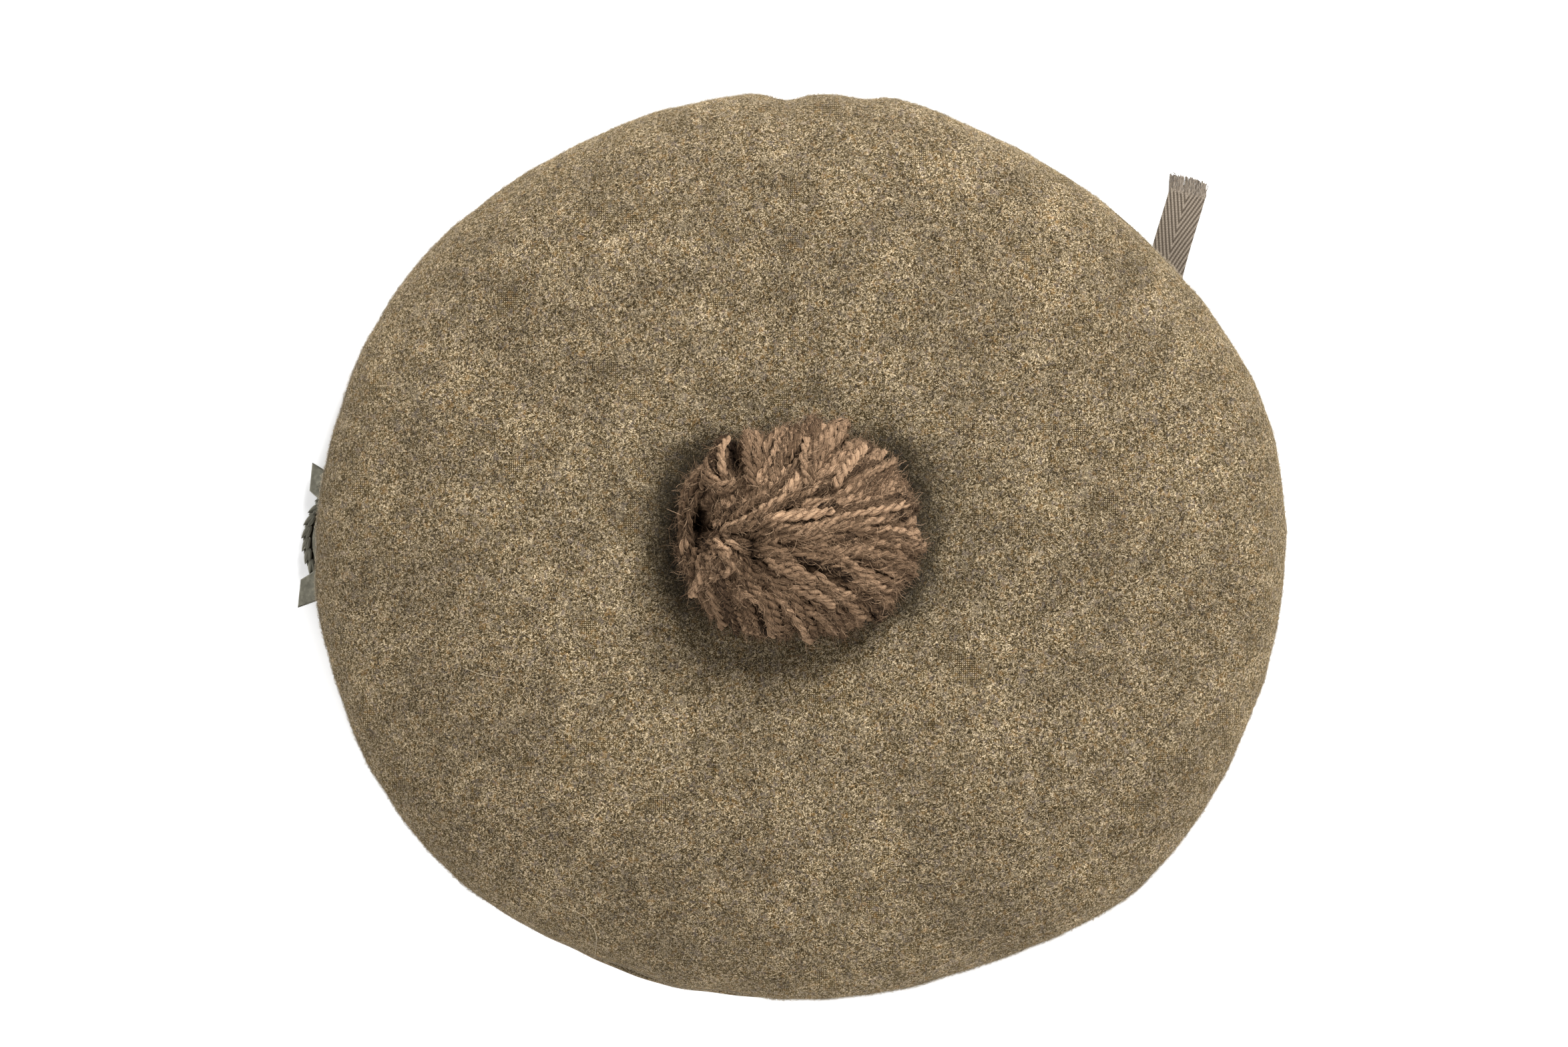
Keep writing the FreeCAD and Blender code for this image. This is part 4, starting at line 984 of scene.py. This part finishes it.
def make_pom_core():
    """A lumpy heart that closes the gaps between strands, with the shank's hollow; it is painted darkest, as
    the shade deep in the gaps.
    """
    phi = angles(120)
    polar = np.linspace(0.17, math.pi - 0.01, 60)[:, None]
    lump = 0.78 + 0.03 * waves(phi * 20, polar * 20, 9, 8)
    ball = around(np.sin(polar), phi, -np.cos(polar)) * HALF * lump[..., None]
    outer, inner = (ball * size + POM_AT - 0.5 * UP for size in (1.0, 0.88))
    # painted shade: tone 0.05 gives the heart the yarn's darkest colour
    piece("toorie_heart", shell(outer[::-1], inner[::-1]), YARN, None, 0.05, "toorie")


def make_pom_fuzz(lines, shade):
    """Fine fibres that stand off the strands."""
    rng = POM_RNG
    count = 56000
    pick = rng.integers(0, len(lines), count)
    at = rng.integers(3, lines.shape[1] - 1, count)
    kept = rng.uniform(0, 1, count) < shade[pick, at]
    pick, at, count = pick[kept], at[kept], int(kept.sum())
    base = lines[pick, at]
    along = unit(base - lines[pick, at - 1])
    out = unit((base - POM_AT) / HALF**2)
    way = unit(along * rng.uniform(0.4, 1.2, (count, 1)) + rng.normal(0, 0.42, (count, 3)) + out * 0.25)
    side = unit(np.cross(way, rng.normal(size=(count, 3))))
    length = rng.gamma(4.0, 0.60, (count, 1, 1))
    t = np.linspace(0, 1, 5)[None, :, None]
    path = (base + out * rng.uniform(0.5, 1.2, (count, 1)))[:, None] + way[:, None] * length * t
    path = path + side[:, None] * length * 0.28 * np.sin(t * rng.uniform(2.0, 5.5, (count, 1, 1)))
    above_crown(path)
    solid = tubes(path, rng.uniform(0.028, 0.062, (count, 1)), 3)
    tone = np.repeat(np.clip(rng.normal(0.45, 0.25, count), 0, 1) * shade[pick, at] ** 2, 15)
    piece("toorie_fuzz", solid, YARN_FUZZ, None, tone, "toorie")


def make_toorie_fixings():
    """Shank, binding cord, patch and anchor stitches, out of sight in the middle."""
    shank_at = np.array([0, 3.5, 0])
    z = np.linspace(34.9, 49.1, 60)
    plies = around(0.85, z * TAU / 6.0 + np.arange(3)[:, None] * TAU / 3, z) + shank_at
    piece("toorie_shank_cord", tubes(plies, 0.85, 7), YARN, "toorie_shank", 0.45, "toorie_neck")
    t = np.linspace(0, 1, 260)
    coil = around(2.95, t * TAU * 7, 50.8 + t * 4.8) + shank_at
    piece("toorie_tie_cord", tubes(coil[None], 0.42, 6), THREAD, "toorie_tie", 0.5, "toorie")
    phi = angles(120)
    r = np.linspace(0.2, 1, 14)[:, None] * (13.8 + 0.25 * np.sin(9 * phi))
    top = around(r, phi, 34.15 + 0.05 * np.sin(3 * phi)) + shank_at
    piece("toorie_patch_cloth", shell(top, top - 0.6 * UP), LINING, "toorie_patch")
    offsets = np.array([[0, 0, 0], [0, 0, 0.05], [0.5, 0.4, -0.02], [-0.4, 0.5, 0.02]])
    along = np.array([[1, 1, 0], [1, -1, 0], [1, 1.1, 0], [1, -0.9, 0]]) / math.sqrt(2)
    lines = stitch(shank_at + 33.2 * UP + offsets, along, np.tile(-UP, (4, 1)), 11.5, 0.1)
    anchor = tubes(lines, 0.2, 6)
    piece("toorie_anchor_thread", anchor, THREAD, "toorie_anchor_stitches", 0.5)


# --- metal, floor, light
# The badge's place, and the middle line of its wreath and size of a leaf in the badge's own frame
BADGE_AT, BADGE_YAW, BADGE_LEAN = (-127.0, 0.5, 16.2), 264.3, 200.9
WREATH_MID, WREATH_BACK, LEAF = (19.6, 22.9), 1.3, (5.4, 1.0, 0.5)
LEAF_PAIRS, LEAF_LEANS = 36, (0.36, 0.04)


def dress_metal():
    for name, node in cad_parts.items():
        if name.startswith("badge_"):
            finish = BADGE if name in ("badge_cross", "badge_wreath") else BRASS
            finish = FIELD if name in ("badge_field", "badge_boss") else finish
            node.data.materials.clear()
            node.data.materials.append(finish)


def make_wreath_back():
    """The stamped backs of the wreath's leaves, which all point one way round it."""
    yaw = Matrix.Rotation(math.radians(BADGE_YAW), 3, "Z")
    spin = np.array(yaw @ Matrix.Rotation(math.radians(BADGE_LEAN), 3, "X"))
    long, half, rise = LEAF
    rx, ry = WREATH_MID
    u, v = np.linspace(0, 1, 10)[:, None], np.linspace(-1, 1, 7)
    wide = half * 2.75 * u**0.6 * (1 - u) * v
    high = rise * np.sin(math.pi * u**0.8) ** 0.7 * (1 - 0.85 * np.abs(v))
    parts = []
    for i in range(LEAF_PAIRS):
        angle = -TAU * i / LEAF_PAIRS
        ahead = math.atan2(-ry * math.cos(angle), rx * math.sin(angle))
        for way in (ahead + turn for turn in LEAF_LEANS):
            x = rx * math.cos(angle) + long * u * math.cos(way) - wide * math.sin(way)
            y = ry * math.sin(angle) + long * u * math.sin(way) + wide * math.cos(way)
            points, faces = open_sheet(xyz(x, y, WREATH_BACK + 0.3), xyz(x, y, WREATH_BACK - high))
            parts.append((points @ spin.T + BADGE_AT, faces))
    piece("badge_wreath_leaf_backs", merge(parts), BADGE)


# Soft lights: place in metres, size, watts
LIGHTS = {
    "key": ((0.32, 0.60, 0.84), (0.50, 0.50), 21.5),
    "fill_front": ((0.20, -0.85, 0.95), (0.60, 0.40), 8.5),
    "fill_left": ((-0.9, 0.1, 1.0), (0.6, 0.6), 2.0),
}
CAMERA_AT, LENS = (-0.0051, 0.0062, 3.017), 229.9
WHITE = (1.0, 1.0, 1.0)


def make_stage():
    """A seamless white table, soft light from above and the upper right, and the camera overhead."""
    scene = bpy.context.scene
    bpy.ops.mesh.primitive_plane_add(size=6.0)
    floor = bpy.context.object
    floor.name = "floor"
    s = Shader("floor", roughness=0.9, specular=0.5)
    feed(s.shader, {"Emission Color": WHITE, "Emission Strength": 0.40})
    floor.data.materials.append(s.done((0.93, 0.93, 0.93)))
    scene.world = bpy.data.worlds.new("studio")
    scene.world.use_nodes = True
    feed(scene.world.node_tree.nodes["Background"], {"Color": WHITE, "Strength": 0.45})
    for name, (at, size, power) in LIGHTS.items():
        data = bpy.data.lights.new(name, "AREA")
        data.shape = "RECTANGLE"
        data.size, data.size_y = size
        data.energy = power
        light = add(name, data, at)
        light.rotation_euler = (-Vector(at)).to_track_quat("-Z", "Y").to_euler()
    data = bpy.data.cameras.new("camera")
    data.lens = LENS
    data.clip_end = 20.0
    scene.camera = add("camera", data, CAMERA_AT)
    scene.view_settings.view_transform = "Standard"


make_crown()
make_felt()
make_loose_hairs()
make_band()
make_lining()
make_threads()
make_size_tape()
make_tail("tape_tail_left", LEFT_TAIL, 1, "tail_left")
make_tail("tape_tail_right", RIGHT_TAIL, -1, "tail_right")
make_toorie()
make_toorie_fixings()
dress_metal()
make_wreath_back()
make_stage()
